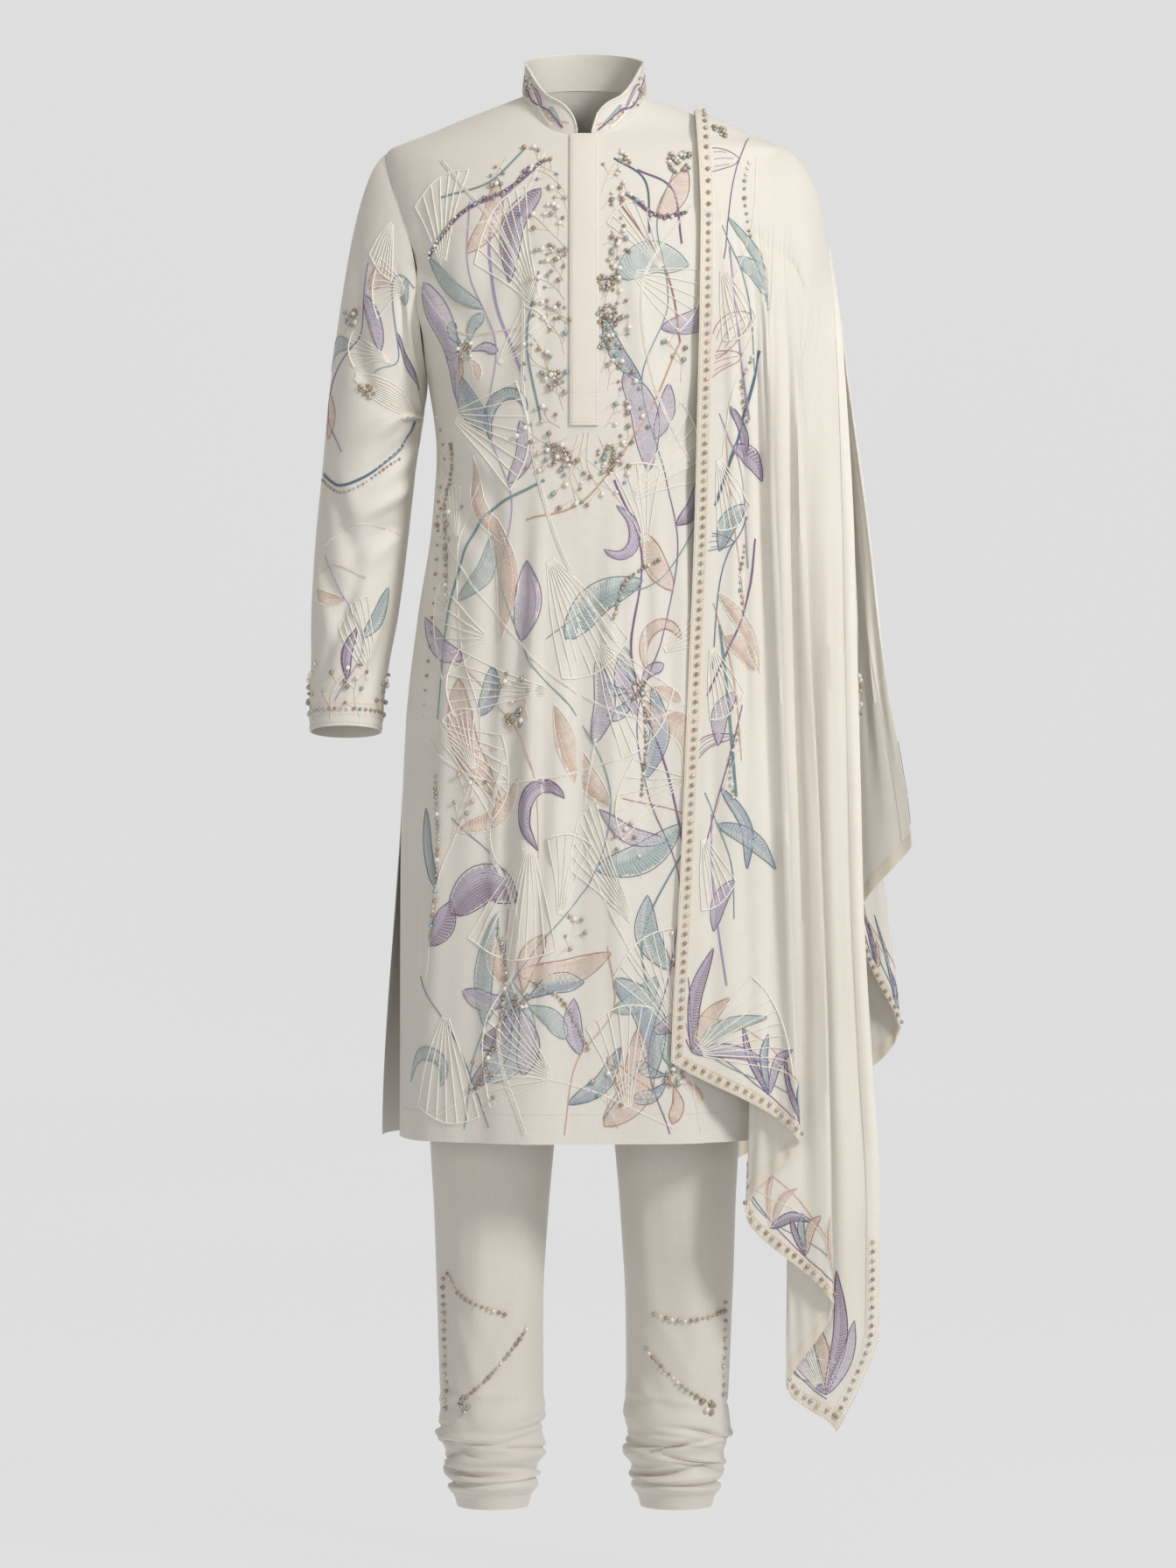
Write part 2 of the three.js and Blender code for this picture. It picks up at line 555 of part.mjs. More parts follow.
// A place of a fall at a share across it and a height: smooth through its ridges and troughs
function fallSection(folds, tableX, tableY, across, z) {
  const xs = tableX(z);
  const ys = tableY(z);
  const rows = Object.entries(folds).map(([name, at]) => ({ at, x: xs[name], y: ys[name] }));
  const place = through(rows)(across);
  return new THREE.Vector3(place.x, place.y, z);
}

const FALLS = {
  front: { side: 1, folds: FRONT_FOLDS, x: FRONT_X, y: FRONT_Y, hem: FRONT_HEM, columns: FRONT_COLUMNS },
  back: { side: -1, folds: BACK_FOLDS, x: BACK_X, y: BACK_Y, hem: BACK_HEM, columns: BACK_COLUMNS },
};
const FALL_ROWS = [0, 0.07, 0.15, 0.24, 0.34, 0.45, 0.56, 0.67, 0.77, 0.86, 0.93, null, 1];

// The inner face of a fall: over the crest of the shoulder for rows below 0, then straight down to its hem.
// "down" is -1 at the crest, 0 where the cloth starts to hang and 1 at the hem
function fall(which, across, down) {
  const { side, folds, x, y, hem } = FALLS[which];
  const crest = CREST(across);
  const start = crest.z - CREST_DROP;
  const point = fallSection(folds, x, y, across, lerp(start, hem(across).z, Math.max(0, down)));
  if (down < 0) {
    const share = down + 1;
    point.set(
      hermite(crest.x, point.x, 0, (point.x - crest.x) * 0.5, share),
      hermite(-side * SEAM * 0.7, point.y, point.y * 1.2, 0, share),
      hermite(crest.z, point.z, 0, -CREST_DROP * 1.05, share),
    );
  }
  const depth = torsoDepth(point.x, point.z, side);
  const least = depth + LIE + LIE_ON_BEND[which] * Math.exp(-(((point.z - SHOULDER_POINT) / LIE_BEND_REACH) ** 2));
  if (depth > 0 && point.y * -side < least) point.y = -side * least;
  return point;
}

// The grid of a fall: its second and last but one columns and its last but one row bound the border strips
function fallPlaces(which) {
  const { columns, hem } = FALLS[which];
  const rows = [...CREST_ROWS.map((share) => share - 1), ...FALL_ROWS];
  return rows.map((row) =>
    columns.map((column, j) => {
      const before = fall(which, 0, row ?? 1);
      const from = j === 1 ? 0 : 1;
      const probe = fall(which, Math.abs(from - 0.05), row ?? 1);
      const reach = j === 1 ? before.distanceTo(probe) : fall(which, 1, row ?? 1).distanceTo(probe);
      const share = clamp((0.05 * BORDER) / reach, 0.02, 0.075);
      const across = column ?? Math.abs(from - share);
      const drop = CREST(across).z - CREST_DROP - hem(across).z;
      return [across, row ?? 1 - BORDER / drop];
    }),
  );
}

function fallPoints(which) {
  const surface = (across, down) => fall(which, across, down);
  const places = fallPlaces(which);
  const points = places.map((row) => row.map(([across, down]) => surface(across, down)));
  const directions = points.map((row, i) =>
    row.map((_, j) => {
      const across = points[i][Math.min(j + 1, row.length - 1)].clone().sub(points[i][Math.max(j - 1, 0)]);
      const along = points[Math.min(i + 1, points.length - 1)][j].clone().sub(points[Math.max(i - 1, 0)][j]);
      return across.cross(along).normalize().multiplyScalar(-FALLS[which].side);
    }),
  );
  return { points, directions };
}

function dupattaFall(which) {
  const { points, directions } = fallPoints(which);
  return shell(`dupatta_${which}`, VEIL_COLOUR, moved(points, directions, VEIL), points);
}

// A strip of the border: the fall's own points from some rows and columns, moved out onto its face
function borderStrip(name, which, fromRow, toRow, fromColumn, toColumn) {
  const { points, directions } = fallPoints(which);
  const cut = (grid) => grid.slice(fromRow, toRow).map((row) => row.slice(fromColumn, toColumn));
  const strip = cut(points);
  const ways = cut(directions);
  return shell(name, BAND_COLOUR, moved(strip, ways, VEIL + SEAM + BAND), moved(strip, ways, VEIL + SEAM));
}

function borders(which) {
  const { points } = fallPoints(which);
  const rows = points.length;
  const columns = points[0].length;
  return [
    borderStrip(`border_${which}_inner`, which, 0, rows - 2, 0, 2),
    borderStrip(`border_${which}_outer`, which, 0, rows - 2, columns - 2, columns),
    borderStrip(`border_${which}_hem`, which, rows - 2, rows, 0, columns),
  ];
}

const suit = new THREE.Group();
suit.add(
  kurtaPanel("kurta_front", 1),
  kurtaPanel("kurta_back", -1),
  collar(),
  placket(),
  sleeve("sleeve_left", false),
  sleeve("sleeve_right", true),
  waistband(),
  churidarLeg("churidar_left", false),
  churidarLeg("churidar_right", true),
  dupattaFall("front"),
  dupattaFall("back"),
  ...borders("front"),
  ...borders("back"),
);

export default suit;
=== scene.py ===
# A man's churidar suit in its worn form: an embroidered ivory kurta with a band collar, churidar trousers
# gathered at the ankles, and a bordered georgette dupatta over the left shoulder.
# The cloth follows the same rules and tables as its solids, in millimetres, and is made in metres.
import math

import bpy
import numpy as np
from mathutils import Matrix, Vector


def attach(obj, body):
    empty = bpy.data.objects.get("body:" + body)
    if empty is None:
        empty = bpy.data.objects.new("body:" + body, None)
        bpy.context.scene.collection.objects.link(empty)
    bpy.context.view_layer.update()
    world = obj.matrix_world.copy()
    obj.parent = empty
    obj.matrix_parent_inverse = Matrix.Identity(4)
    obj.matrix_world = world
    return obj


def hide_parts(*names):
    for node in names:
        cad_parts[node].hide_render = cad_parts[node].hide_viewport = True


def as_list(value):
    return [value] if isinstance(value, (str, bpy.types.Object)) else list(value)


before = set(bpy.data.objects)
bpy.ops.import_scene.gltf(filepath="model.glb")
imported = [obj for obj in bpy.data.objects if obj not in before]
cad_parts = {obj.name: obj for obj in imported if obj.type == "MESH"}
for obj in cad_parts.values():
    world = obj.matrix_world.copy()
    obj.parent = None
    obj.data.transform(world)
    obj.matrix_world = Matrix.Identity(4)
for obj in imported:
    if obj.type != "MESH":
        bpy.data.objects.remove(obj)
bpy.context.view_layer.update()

MM = 0.001
HEM = -1066
ARMPIT = -295
SHOULDER_POINT = -58
SLIT_TOP = -690
SLIT_FLARE = 18
SLIT_GAP = 9
NECK_SIDE = 63
NECK_RISE = 16
NECK_FRONT = 61
NECK_BACK = 55
COLLAR_HEIGHT = 35
COLLAR_GAP = 15
COLLAR_ROUND = 24
COLLAR_LEAN = 2.5
COLLAR_LIFT = 1.2
PLACKET_WIDTH = 29
PLACKET_BOTTOM = -345
PLACKET_LIFT = 0.8
ARMHOLE_TURN = math.radians(28)
CROTCH = -727
SEAT = -650
WAIST = -490
WAISTBAND = 34
ANKLE_HEM = -1447
CLOTH = 1.2
VEIL = 1.0
BAND = 0.9
STIFF = 2.0
SEAM = 0.3
LIE = 3.0
LIE_ON_BEND = {"front": 4.0, "back": 8.6}
LIE_BEND_REACH = 26.0
BORDER = 15.0
CREST_DROP = 115.0
SLEEVE_HEAD = -335.0
SLEEVE_CUFF = -652.0
TAU = 2 * math.pi

chance = np.random.default_rng(11)


# ---------------------------------------------------------------- curves and tables


def table(columns, rows):
    names = columns.split()
    return [dict(zip(names, row)) for row in rows]


def ease(t):
    t = np.clip(t, 0, 1)
    return t * t * (3 - 2 * t)


def lerp(a, b, t):
    return a + (b - a) * t


def power(value, exponent):
    return np.sign(value) * np.abs(value) ** exponent


def unit(v):
    return v / np.maximum(np.linalg.norm(v, axis=-1, keepdims=True), 1e-9)


def toward(angle):
    return np.array([math.cos(angle), math.sin(angle)])


def left_of(ways):
    """A quarter turn to the left, in the plane."""
    return np.stack([-ways[..., 1], ways[..., 0]], -1)


def hermite(a, b, leave, arrive, t):
    s = 1 - t
    return a * s * s * (1 + 2 * t) + b * t * t * (3 - 2 * t) + leave * t * s * s - arrive * t * t * s


def slopes_of(at, values):
    """Slopes that keep a curve through these values from overshooting; the last axis runs along the curve."""
    step = np.diff(values) / np.diff(at)
    before, after = step[..., :-1], step[..., 1:]
    same = before * after > 0
    inner = np.where(same, 2 * before * after / np.where(same, before + after, 1), 0)
    return np.concatenate([step[..., :1], inner, step[..., -1:]], axis=-1)


def pick(at, values, slopes, where):
    """The smooth curve through (at, values) at each place; values may have a row for each place."""
    i = np.clip(np.searchsorted(at, where, side="right") - 1, 0, len(at) - 2)
    long = at[i + 1] - at[i]
    t = np.clip((where - at[i]) / long, 0, 1)
    if values.ndim == 1:
        return hermite(values[i], values[i + 1], slopes[i] * long, slopes[i + 1] * long, t)
    take = lambda grid, k: np.take_along_axis(grid, k[..., None], -1)[..., 0]
    leave, arrive = take(slopes, i) * long, take(slopes, i + 1) * long
    return hermite(take(values, i), take(values, i + 1), leave, arrive, t)


def curves(columns, rows):
    """Smooth curves through a table whose rows are sorted by "at"."""
    rows = table(columns, rows)
    at = np.array([row["at"] for row in rows], float)
    lines = {name: np.array([row[name] for row in rows], float) for name in rows[0] if name != "at"}
    slopes = {name: slopes_of(at, values) for name, values in lines.items()}

    def find(where):
        where = np.asarray(where, float)
        return {name: pick(at, values, slopes[name], where) for name, values in lines.items()}

    return find


def rounded(points, pitch=4.0):
    """An even polyline along a soft curve through the given points of a plane."""
    points = np.asarray(points, float)
    if len(points) == 2:
        bends = points
    else:
        ends = np.vstack([2 * points[0] - points[1], points, 2 * points[-1] - points[-2]])
        t = np.linspace(0, 1, 17)[:-1, None]
        bends = []
        for i in range(len(points) - 1):
            p0, p1, p2, p3 = ends[i : i + 4]
            square, cube = 2 * p0 - 5 * p1 + 4 * p2 - p3, 3 * p1 - p0 - 3 * p2 + p3
            bends.append(0.5 * (2 * p1 + (p2 - p0) * t + square * t**2 + cube * t**3))
        bends = np.vstack(bends + [points[-1:]])
    gone = np.concatenate([[0], np.cumsum(np.linalg.norm(np.diff(bends, axis=0), axis=1))])
    count = max(2, int(round(gone[-1] / pitch)) + 1)
    even = np.linspace(0, gone[-1], count)
    return np.stack([np.interp(even, gone, bends[:, k]) for k in range(bends.shape[1])], -1)


# ---------------------------------------------------------------- cloth as a rule


class Cloth:
    """A sheet of cloth as a rule: form(a, b) gives the points of one face in millimetres, a across and b along it.
    relief(a, b) is how far its creases stand out of that form, and sense turns its directions outwards."""

    def __init__(self, form, steps, sense, relief=None, mirror=False):
        self.form = form
        self.steps = steps
        self.sense = sense
        self.relief = relief
        self.mirror = mirror

    def turned(self, form, a, b):
        da, db = self.steps
        across = form(a + da, b) - form(a - da, b)
        along = form(a, b + db) - form(a, b - db)
        return unit(np.cross(across, along)) * self.sense

    def creased(self, a, b):
        points = self.form(a, b)
        if self.relief is None:
            return points
        return points + self.turned(self.form, a, b) * self.relief(a, b)[..., None]

    def face(self, a, b, lift=0.0):
        """Points on the cloth, or this far outside it, and the outward directions there."""
        a, b = np.broadcast_arrays(np.asarray(a, float), np.asarray(b, float))
        ways = self.turned(self.creased, a, b)
        points = self.creased(a, b) + ways * np.broadcast_to(lift, a.shape)[..., None]
        if self.mirror:
            flip = np.array([-1.0, 1.0, 1.0])
            return points * flip, ways * flip
        return points, ways

    def set_out(self, b_from, b_to, a_from, a_to, a_zero, rows=90):
        """Prepares across(): how far a place is across the cloth, in millimetres from a_zero."""
        self.b_rows = np.linspace(b_from, b_to, rows)
        a = np.linspace(a_from, a_to, 121)
        points, _ = self.face(*np.meshgrid(a, self.b_rows))
        gone = np.cumsum(np.linalg.norm(np.diff(points, axis=1), axis=-1), axis=1)
        gone = np.hstack([np.zeros((rows, 1)), gone])
        way = 1 if a_to > a_from else -1
        start = np.array([np.interp(way * a_zero, way * a, row) for row in gone])
        self.reach = np.stack([-start, gone[:, -1] - start], -1)
        shares = np.linspace(0, 1, 121)
        self.a_of = np.array([np.interp(shares * row[-1], row, a) for row in gone])
        return self

    def across(self, s, b):
        """The a of a place s millimetres across the cloth at b."""
        s, b = np.broadcast_arrays(np.asarray(s, float), np.asarray(b, float))
        first, last = self.b_rows[0], self.b_rows[-1]
        row = np.clip((b - first) / (last - first) * (len(self.b_rows) - 1), 0, len(self.b_rows) - 1.001)
        i = row.astype(int)
        t = row - i
        low = lerp(self.reach[i, 0], self.reach[i + 1, 0], t)
        high = lerp(self.reach[i, 1], self.reach[i + 1, 1], t)
        column = np.clip((s - low) / (high - low) * 120, 0, 119.999)
        j = column.astype(int)
        u = column - j
        near = lerp(self.a_of[i, j], self.a_of[i, j + 1], u)
        far = lerp(self.a_of[i + 1, j], self.a_of[i + 1, j + 1], u)
        return lerp(near, far, t)


def folds(rows, reach):
    """Soft troughs and ridges: each runs from (x0, y0) to (x1, y1), fades to its ends and has a gentler twin beside it.
    reach turns the cloth's own a and b into the millimetres that the table is written in."""

    def relief(a, b):
        x, y = reach(a, b)
        total = np.zeros(np.shape(x))
        for row in rows:
            ex, ey = row["x1"] - row["x0"], row["y1"] - row["y0"]
            long = math.hypot(ex, ey)
            t = ((x - row["x0"]) * ex + (y - row["y0"]) * ey) / long**2
            bow = row.get("bow", 0.0) * 4 * np.clip(t, 0, 1) * (1 - np.clip(t, 0, 1))
            off = ((x - row["x0"]) * ey - (y - row["y0"]) * ex) / long - bow
            wide = row["wide"] * (0.75 + 0.5 * np.clip(t, 0, 1))
            fade = ease(np.clip(t, 0, 1) * 3.2) * ease((1 - np.clip(t, 0, 1)) * 2.4)
            shape = np.exp(-((off / wide) ** 2)) - 0.45 * np.exp(-(((off - 1.9 * wide) / (1.2 * wide)) ** 2))
            total = total + row["deep"] * shape * fade
        return total

    return relief


def ripple(seed, size, deep):
    """A gentle unevenness, the same each run: waves of about this size in all directions."""
    draw = np.random.default_rng(seed)
    waves = [(draw.uniform(0, TAU), draw.uniform(0, TAU), draw.uniform(0.7, 1.6)) for _ in range(7)]

    def relief(x, y):
        total = 0.0
        for angle, phase, pace in waves:
            total = total + np.sin((x * math.cos(angle) + 0.45 * y * math.sin(angle)) * TAU * pace / size + phase)
        return total * deep / 3

    return relief


def drawn_ripples(seed, size, deep):
    """Fine ripples that run down the cloth, a few here and a few there, and waver a little."""
    draw = np.random.default_rng(seed)
    spans = ((0, TAU), (0, TAU), (0.6, 1.7), (240, 520))
    waves = [[draw.uniform(*span) for span in spans] for _ in range(6)]

    def relief(x, y):
        total = 0.0
        for phase, start, pace, long in waves:
            here = 0.5 + 0.5 * np.sin(y * TAU / long + start + x * TAU / 310)
            total = total + here * np.sin(x * TAU * pace / size + phase + 0.9 * np.sin(y * TAU / (1.4 * long)))
        return total * deep / 2

    return relief


# ---------------------------------------------------------------- kurta

TORSO = curves("at width front back square", [
    (-1066, 190, 150, 142, 2.3),
    (-800, 189, 143, 134, 2.3),
    (-650, 184, 136, 126, 2.3),
    (-532, 171, 128, 113, 2.3),
    (-442, 157, 122, 103, 2.3),
    (-368, 152, 120, 106, 2.25),
    (-298, 160, 122, 117, 2.2),
    (-214, 186, 119, 124, 2.1),
    (-157, 198, 111, 123, 2.0),
    (-100, 205, 95, 117, 1.85),
    (-58, 204, 72, 101, 1.6),
    (-36, 157, 53, 80, 1.5),
    (-22, 124, 45, 72, 1.5),
    (-7, 85, 37, 64, 1.55),
    (0, 63, 33, 62, 1.7),
    (8, 61, 32, 59, 2.0),
    (20, 60, 31, 53, 2.0),
])
KURTA_FOLDS = table("turn spread depth top bottom", [
    (62, 9, 4, -520, -1066),
    (84, 8, -4, -420, -1066),
    (103, 9, 4.5, -600, -1066),
    (124, 8, -4, -480, -1066),
    (146, 10, 4, -560, -1066),
    (-55, 9, 5, -460, -1066),
    (-78, 9, -4, -420, -1066),
    (-101, 10, 5, -520, -1066),
    (-127, 10, -4, -460, -1066),
])


def torso(turn, z):
    """turn is 0 at the wearer's left side, a quarter turn at the front and minus that at the back."""
    form = TORSO(z)
    behind = np.sin(turn) < 0
    degrees = np.degrees(turn)
    swell = 0.0
    for fold in KURTA_FOLDS:
        off = (degrees - fold["turn"]) / fold["spread"]
        swell = swell + fold["depth"] * np.exp(-off * off) * ease((fold["top"] - z) / (fold["top"] - fold["bottom"]))
    swell = 1 + swell / form["front"]
    flare = np.where(behind, SLIT_FLARE * ease((SLIT_TOP - z) / (SLIT_TOP - HEM)), 0)
    depth = np.where(behind, form["back"], form["front"])
    x = (form["width"] + flare) * power(np.cos(turn), 2 / form["square"]) * swell
    y = -depth * power(np.sin(turn), 2 / form["square"]) * swell
    return np.stack([x, y, z + 0 * turn], -1)


def depth_at(form, share, depth):
    """How deep the body's rounded section is at this share of its half width."""
    return depth * (1 - share ** form["square"]) ** (1 / form["square"])


def torso_depth(x, z, side):
    form = TORSO(z)
    share = np.clip(np.abs(x) / form["width"], 0, 1)
    return np.where(z > 0, 0, depth_at(form, share, form["front"] if side > 0 else form["back"]))


def neck_height(around):
    """The neckline's height: where the front crosses the neck ring, and a smooth rise from there round the back."""
    around = np.asarray(around, float)
    sine = np.maximum(0, np.sin(around))
    x = NECK_SIDE * np.where(np.sin(around) < 0, 1, np.abs(np.cos(around)))
    low, high = np.full(around.shape, -70.0), np.full(around.shape, 18.0)
    for _ in range(40):
        z = (low + high) / 2
        form = TORSO(z)
        depth = depth_at(form, np.minimum(1, x / form["width"]), form["front"])
        low = np.where(depth > NECK_FRONT * sine, z, low)
        high = np.where(depth > NECK_FRONT * sine, high, z)
    return (low + high) / 2 + NECK_RISE * np.maximum(0, -np.sin(around)) ** 1.08


def turn_at(x, z):
    form = TORSO(z)
    return np.arccos(np.clip(x / form["width"], 0, 1) ** (form["square"] / 2))


def armhole(z):
    share = np.clip((SHOULDER_POINT - z) / (SHOULDER_POINT - ARMPIT), 0, 1)
    return ARMHOLE_TURN * np.sin(math.pi * share) ** 0.75


def seam_turn(z, gap):
    form = TORSO(z)
    return np.arcsin(np.minimum(1, gap / form["front"])) ** (form["square"] / 2)


def panel_places(side, columns, rows):
    """The turns and heights of a kurta panel's grid, from the neck and shoulders down to the hem."""
    ridge = np.linspace(0, SHOULDER_POINT, rows[0] + 1)
    arm = np.linspace(SHOULDER_POINT, ARMPIT, rows[1] + 1)[1:]
    body = np.linspace(ARMPIT, HEM, rows[2] + 1)[1:]
    edge = np.concatenate([ridge, arm, body])
    width = TORSO(edge)["width"]
    across = np.where(np.arange(1, len(edge)) <= rows[0], np.diff(width), 0)
    gone = np.concatenate([[0], np.cumsum(np.hypot(np.diff(edge), across))])
    yoke = gone[rows[0] + rows[1]]
    down = np.minimum(1, gone / yoke)[:, None]
    edge = edge[:, None]
    middle = float(neck_height(side * math.pi / 2))
    centre = np.where(down < 1, lerp(middle, ARMPIT, down), edge)
    opening = ease((SLIT_TOP - edge) / (SLIT_TOP - HEM)) * (SLIT_GAP if side > 0 else 0)
    cut = armhole(edge) + seam_turn(edge, SEAM / 2 + opening)
    c = np.linspace(0, 1, columns + 1)[None, :]
    around = c * math.pi / 2
    top = neck_height(side * around)
    rise = (top - top[:, :1]) / (middle - top[:, :1])
    top_turn = turn_at(NECK_SIDE * np.cos(around), top) / (math.pi / 2)
    top_turn[:, 0] = 0
    settle = ease(down)
    turn = lerp(cut, math.pi / 2, lerp(top_turn, c, settle))
    z = lerp(edge + 0 * c, centre + 0 * c, lerp(rise, c, settle))
    turn = np.hstack([turn, math.pi - turn[:, -2::-1]])
    return side * turn, np.hstack([z, z[:, -2::-1]])


# Creases of the kurta's front, in millimetres across from the middle and up
FRONT_CREASES = table("x0 y0 x1 y1 wide deep bow", [
    (-40, -360, -62, -1040, 9, 2.6, 5),
    (-8, -420, -16, -980, 8, -1.8, -4),
    (26, -400, 42, -1050, 10, 2.4, 6),
    (64, -350, 70, -900, 9, -2.2, 4),
    (-92, -330, -110, -1000, 11, -2.4, -6),
    (-128, -420, -150, -1050, 9, 2.2, 5),
    (96, -330, 104, -1020, 10, 2.2, -5),
    (-150, -310, -60, -420, 10, 1.8, 8),
    (-158, -340, -84, -500, 9, -1.6, 6),
    (150, -310, 70, -410, 10, 1.8, -8),
    (-176, -205, -96, -330, 12, 2.2, -9),
    (-190, -150, -120, -250, 12, -1.6, -6),
    (176, -205, 96, -330, 12, 2.0, 9),
    (-70, -95, -100, -240, 14, -1.4, 6),
    (-46, -150, -58, -330, 10, 1.2, 3),
    (44, -150, 60, -340, 10, 1.2, -3),
    (-26, -640, -40, -1060, 7, 1.6, 3),
    (8, -560, 10, -1055, 8, 1.5, -2),
    (-74, -560, -84, -1060, 7, -1.5, 3),
    (-172, -700, -182, -1060, 10, -2.0, 0),
])
BACK_CREASES = table("x0 y0 x1 y1 wide deep bow", [
    (-50, -340, -66, -1040, 11, 2.6, 6),
    (-6, -300, 4, -1050, 12, -2.6, -5),
    (48, -380, 62, -1030, 11, 2.4, -4),
    (104, -340, 116, -1050, 12, -2.6, 6),
    (-106, -330, -120, -1040, 12, -2.4, 6),
    (-120, -330, 0, -372, 11, 2.4, -10),
    (120, -330, 6, -380, 11, 2.2, 10),
    (-150, -360, -40, -440, 11, -2.0, -8),
    (150, -372, 44, -440, 11, -1.8, 8),
    (-160, -150, -120, -300, 12, 2.0, 6),
    (160, -150, 118, -300, 12, 2.0, -6),
])
body_waves = ripple(3, 210, 0.9)
body_ripples = drawn_ripples(12, 34, 0.42)


def front_reach(turn, z):
    return torso_x(turn, z), z


def torso_x(turn, z):
    form = TORSO(z)
    return form["width"] * power(np.cos(turn), 2 / form["square"])


front_folds = folds(FRONT_CREASES, front_reach)
back_folds = folds(BACK_CREASES, front_reach)


UNDER_DUPATTA = (75.0, 35.0)  # where its cover starts, and over how much width the folds grow shallow


def kurta_relief(turn, z):
    settle = ease((-40 - z) / 120)
    front = np.sin(turn) >= 0
    seam = ease(np.abs(np.sin(turn)) * 3.5)
    deep = np.where(front, front_folds(turn, z), back_folds(turn, z))
    x = torso_x(turn, z)
    placket = np.where(front & (z > PLACKET_BOTTOM - 20), ease((np.abs(x) - 16) / 22), 1)
    depth = lerp(2.5, 1.5, ease((x - UNDER_DUPATTA[0]) / UNDER_DUPATTA[1]))
    total = depth * deep * placket + body_waves(x, z) + body_ripples(x, z) * placket
    room = 7 - 6.8 * ease((-470 - z) / 130) + 7 * ease((-700 - z) / 90)  # between the kurta's back and the seat
    return np.where(front, total, np.maximum(total, -room)) * settle * seam


TURN_STEP = math.radians(0.5)
kurta = Cloth(torso, (TURN_STEP, 1.0), -1, kurta_relief)


# ---------------------------------------------------------------- sleeves

SLEEVE = curves("at x width depth y rise", [
    (-652, 245, 37, 38.5, -12, 6),
    (-619, 244, 38.8, 40.5, -8, 5),
    (-583, 241, 40.5, 44, -2, 3),
    (-529, 236, 44.7, 49, 3, 1),
    (-439, 228, 48, 54, 7, 0),
    (-367, 220, 49, 57, 5, 0),
    (-335, 216, 50, 58, 4, 0),
])


def sleeve_form(around, q):
    """q is 0 at the armhole, 1 at the first level ring and 2 at the cuff."""
    half = (SHOULDER_POINT - ARMPIT) / 2
    share = np.clip(q, -0.05, 1)
    z = SHOULDER_POINT - half + half * np.cos(around)
    side = np.where(np.sin(around) < 0, -1, 1)
    start = torso(side * armhole(z), z)
    level = lerp(SLEEVE_HEAD, SLEEVE_CUFF, np.maximum(q - 1, 0))
    ring = SLEEVE(level)
    stop = np.stack(
        [
            ring["x"] + ring["width"] * np.cos(around),
            ring["y"] - ring["depth"] * np.sin(around),
            level + ring["rise"] * np.sin(around),
        ],
        -1,
    )
    high = (1 + np.cos(around)) / 2
    leave = [lerp(4, 95, high), -14 * np.sin(around), -40 - 20 * high - 40 * high * (1 - high)]
    arrive = [lerp(4, 30, high), 0 * high, 1.05 * (stop[..., 2] - z)]
    origin = [start[..., 0] + 0.6, start[..., 1], z]
    head = np.stack([hermite(origin[k], stop[..., k], leave[k], arrive[k], share) for k in range(3)], -1)
    return np.where((q < 1)[..., None], head, stop)


# Creases of the left sleeve: across from its outer line towards the front, and down from the shoulder
SLEEVE_CREASES = table("x0 y0 x1 y1 wide deep bow", [
    (70, 60, 128, 210, 10, -2.4, 8),
    (98, 90, 140, 260, 9, 2.0, 6),
    (28, 110, 96, 300, 11, -1.8, -8),
    (150, 250, 60, 330, 8, 2.8, 5),
    (158, 300, 70, 372, 7, -2.6, -5),
    (150, 350, 48, 402, 8, 2.6, 6),
    (140, 395, 60, 440, 7, -2.2, -4),
    (24, 340, 86, 470, 9, -1.6, 8),
    (10, 420, 66, 545, 9, 1.6, 6),
    (88, 430, 34, 560, 8, -1.8, 5),
    (120, 470, 76, 590, 8, 1.6, 5),
    (-40, 80, -100, 240, 11, -2.2, -6),
    (-150, 280, -60, 350, 8, 2.4, 6),
    (-160, 335, -66, 400, 8, -2.4, -5),
    (-136, 380, -40, 450, 9, 2.0, 6),
    (-60, 430, -110, 570, 9, -1.8, 5),
])
SLEEVE_LENGTH = 300.0
SLEEVE_RADIUS = 51.0
sleeve_waves = ripple(5, 90, 0.6)


def sleeve_reach(around, q):
    wrapped = (around + math.pi) % TAU - math.pi
    return wrapped * SLEEVE_RADIUS, q * SLEEVE_LENGTH


sleeve_folds = folds(SLEEVE_CREASES, sleeve_reach)


def sleeve_relief(around, q):
    _, y = sleeve_reach(around, q)
    ends = ease(q * 4) * ease((2 - q) * 9)
    return (2.6 * sleeve_folds(around, q) + sleeve_waves(np.sin(around) * 80, y)) * ends


sleeve_left = Cloth(sleeve_form, (math.radians(2), 0.01), 1, sleeve_relief)
sleeve_right = Cloth(sleeve_form, (math.radians(2), 0.01), 1, sleeve_relief, mirror=True)


# ---------------------------------------------------------------- churidar

LEG = curves("at outer inner front back wrap", [
    (-1447, 131, 57.5, 38, 40, 180),
    (-1425, 137, 52, 42, 44, 180),
    (-1400, 141, 48, 44, 47, 180),
    (-1350, 147, 43, 49, 53, 180),
    (-1235, 152, 42, 55, 60, 180),
    (-1145, 155, 37, 60, 62, 180),
    (-1066, 159, 30, 64, 66, 180),
    (-950, 160, 20, 72, 74, 180),
    (-850, 163, 10, 80, 82, 180),
    (-760, 167, 1.5, 88, 94, 180),
    (CROTCH, 168, 0.2, 93, 103, 180),
    (-712, 168, 0.2, 96, 110, 146),
    (-690, 168, 0.2, 99, 117, 116),
    (SEAT, 166, 0.2, 102, 123.9, 92),
    (-610, 161, 0.2, 103, 114, 90),
    (-540, 150, 0.2, 101, 99, 90),
    (WAIST, 140, 0.2, 98, 91, 90),
])
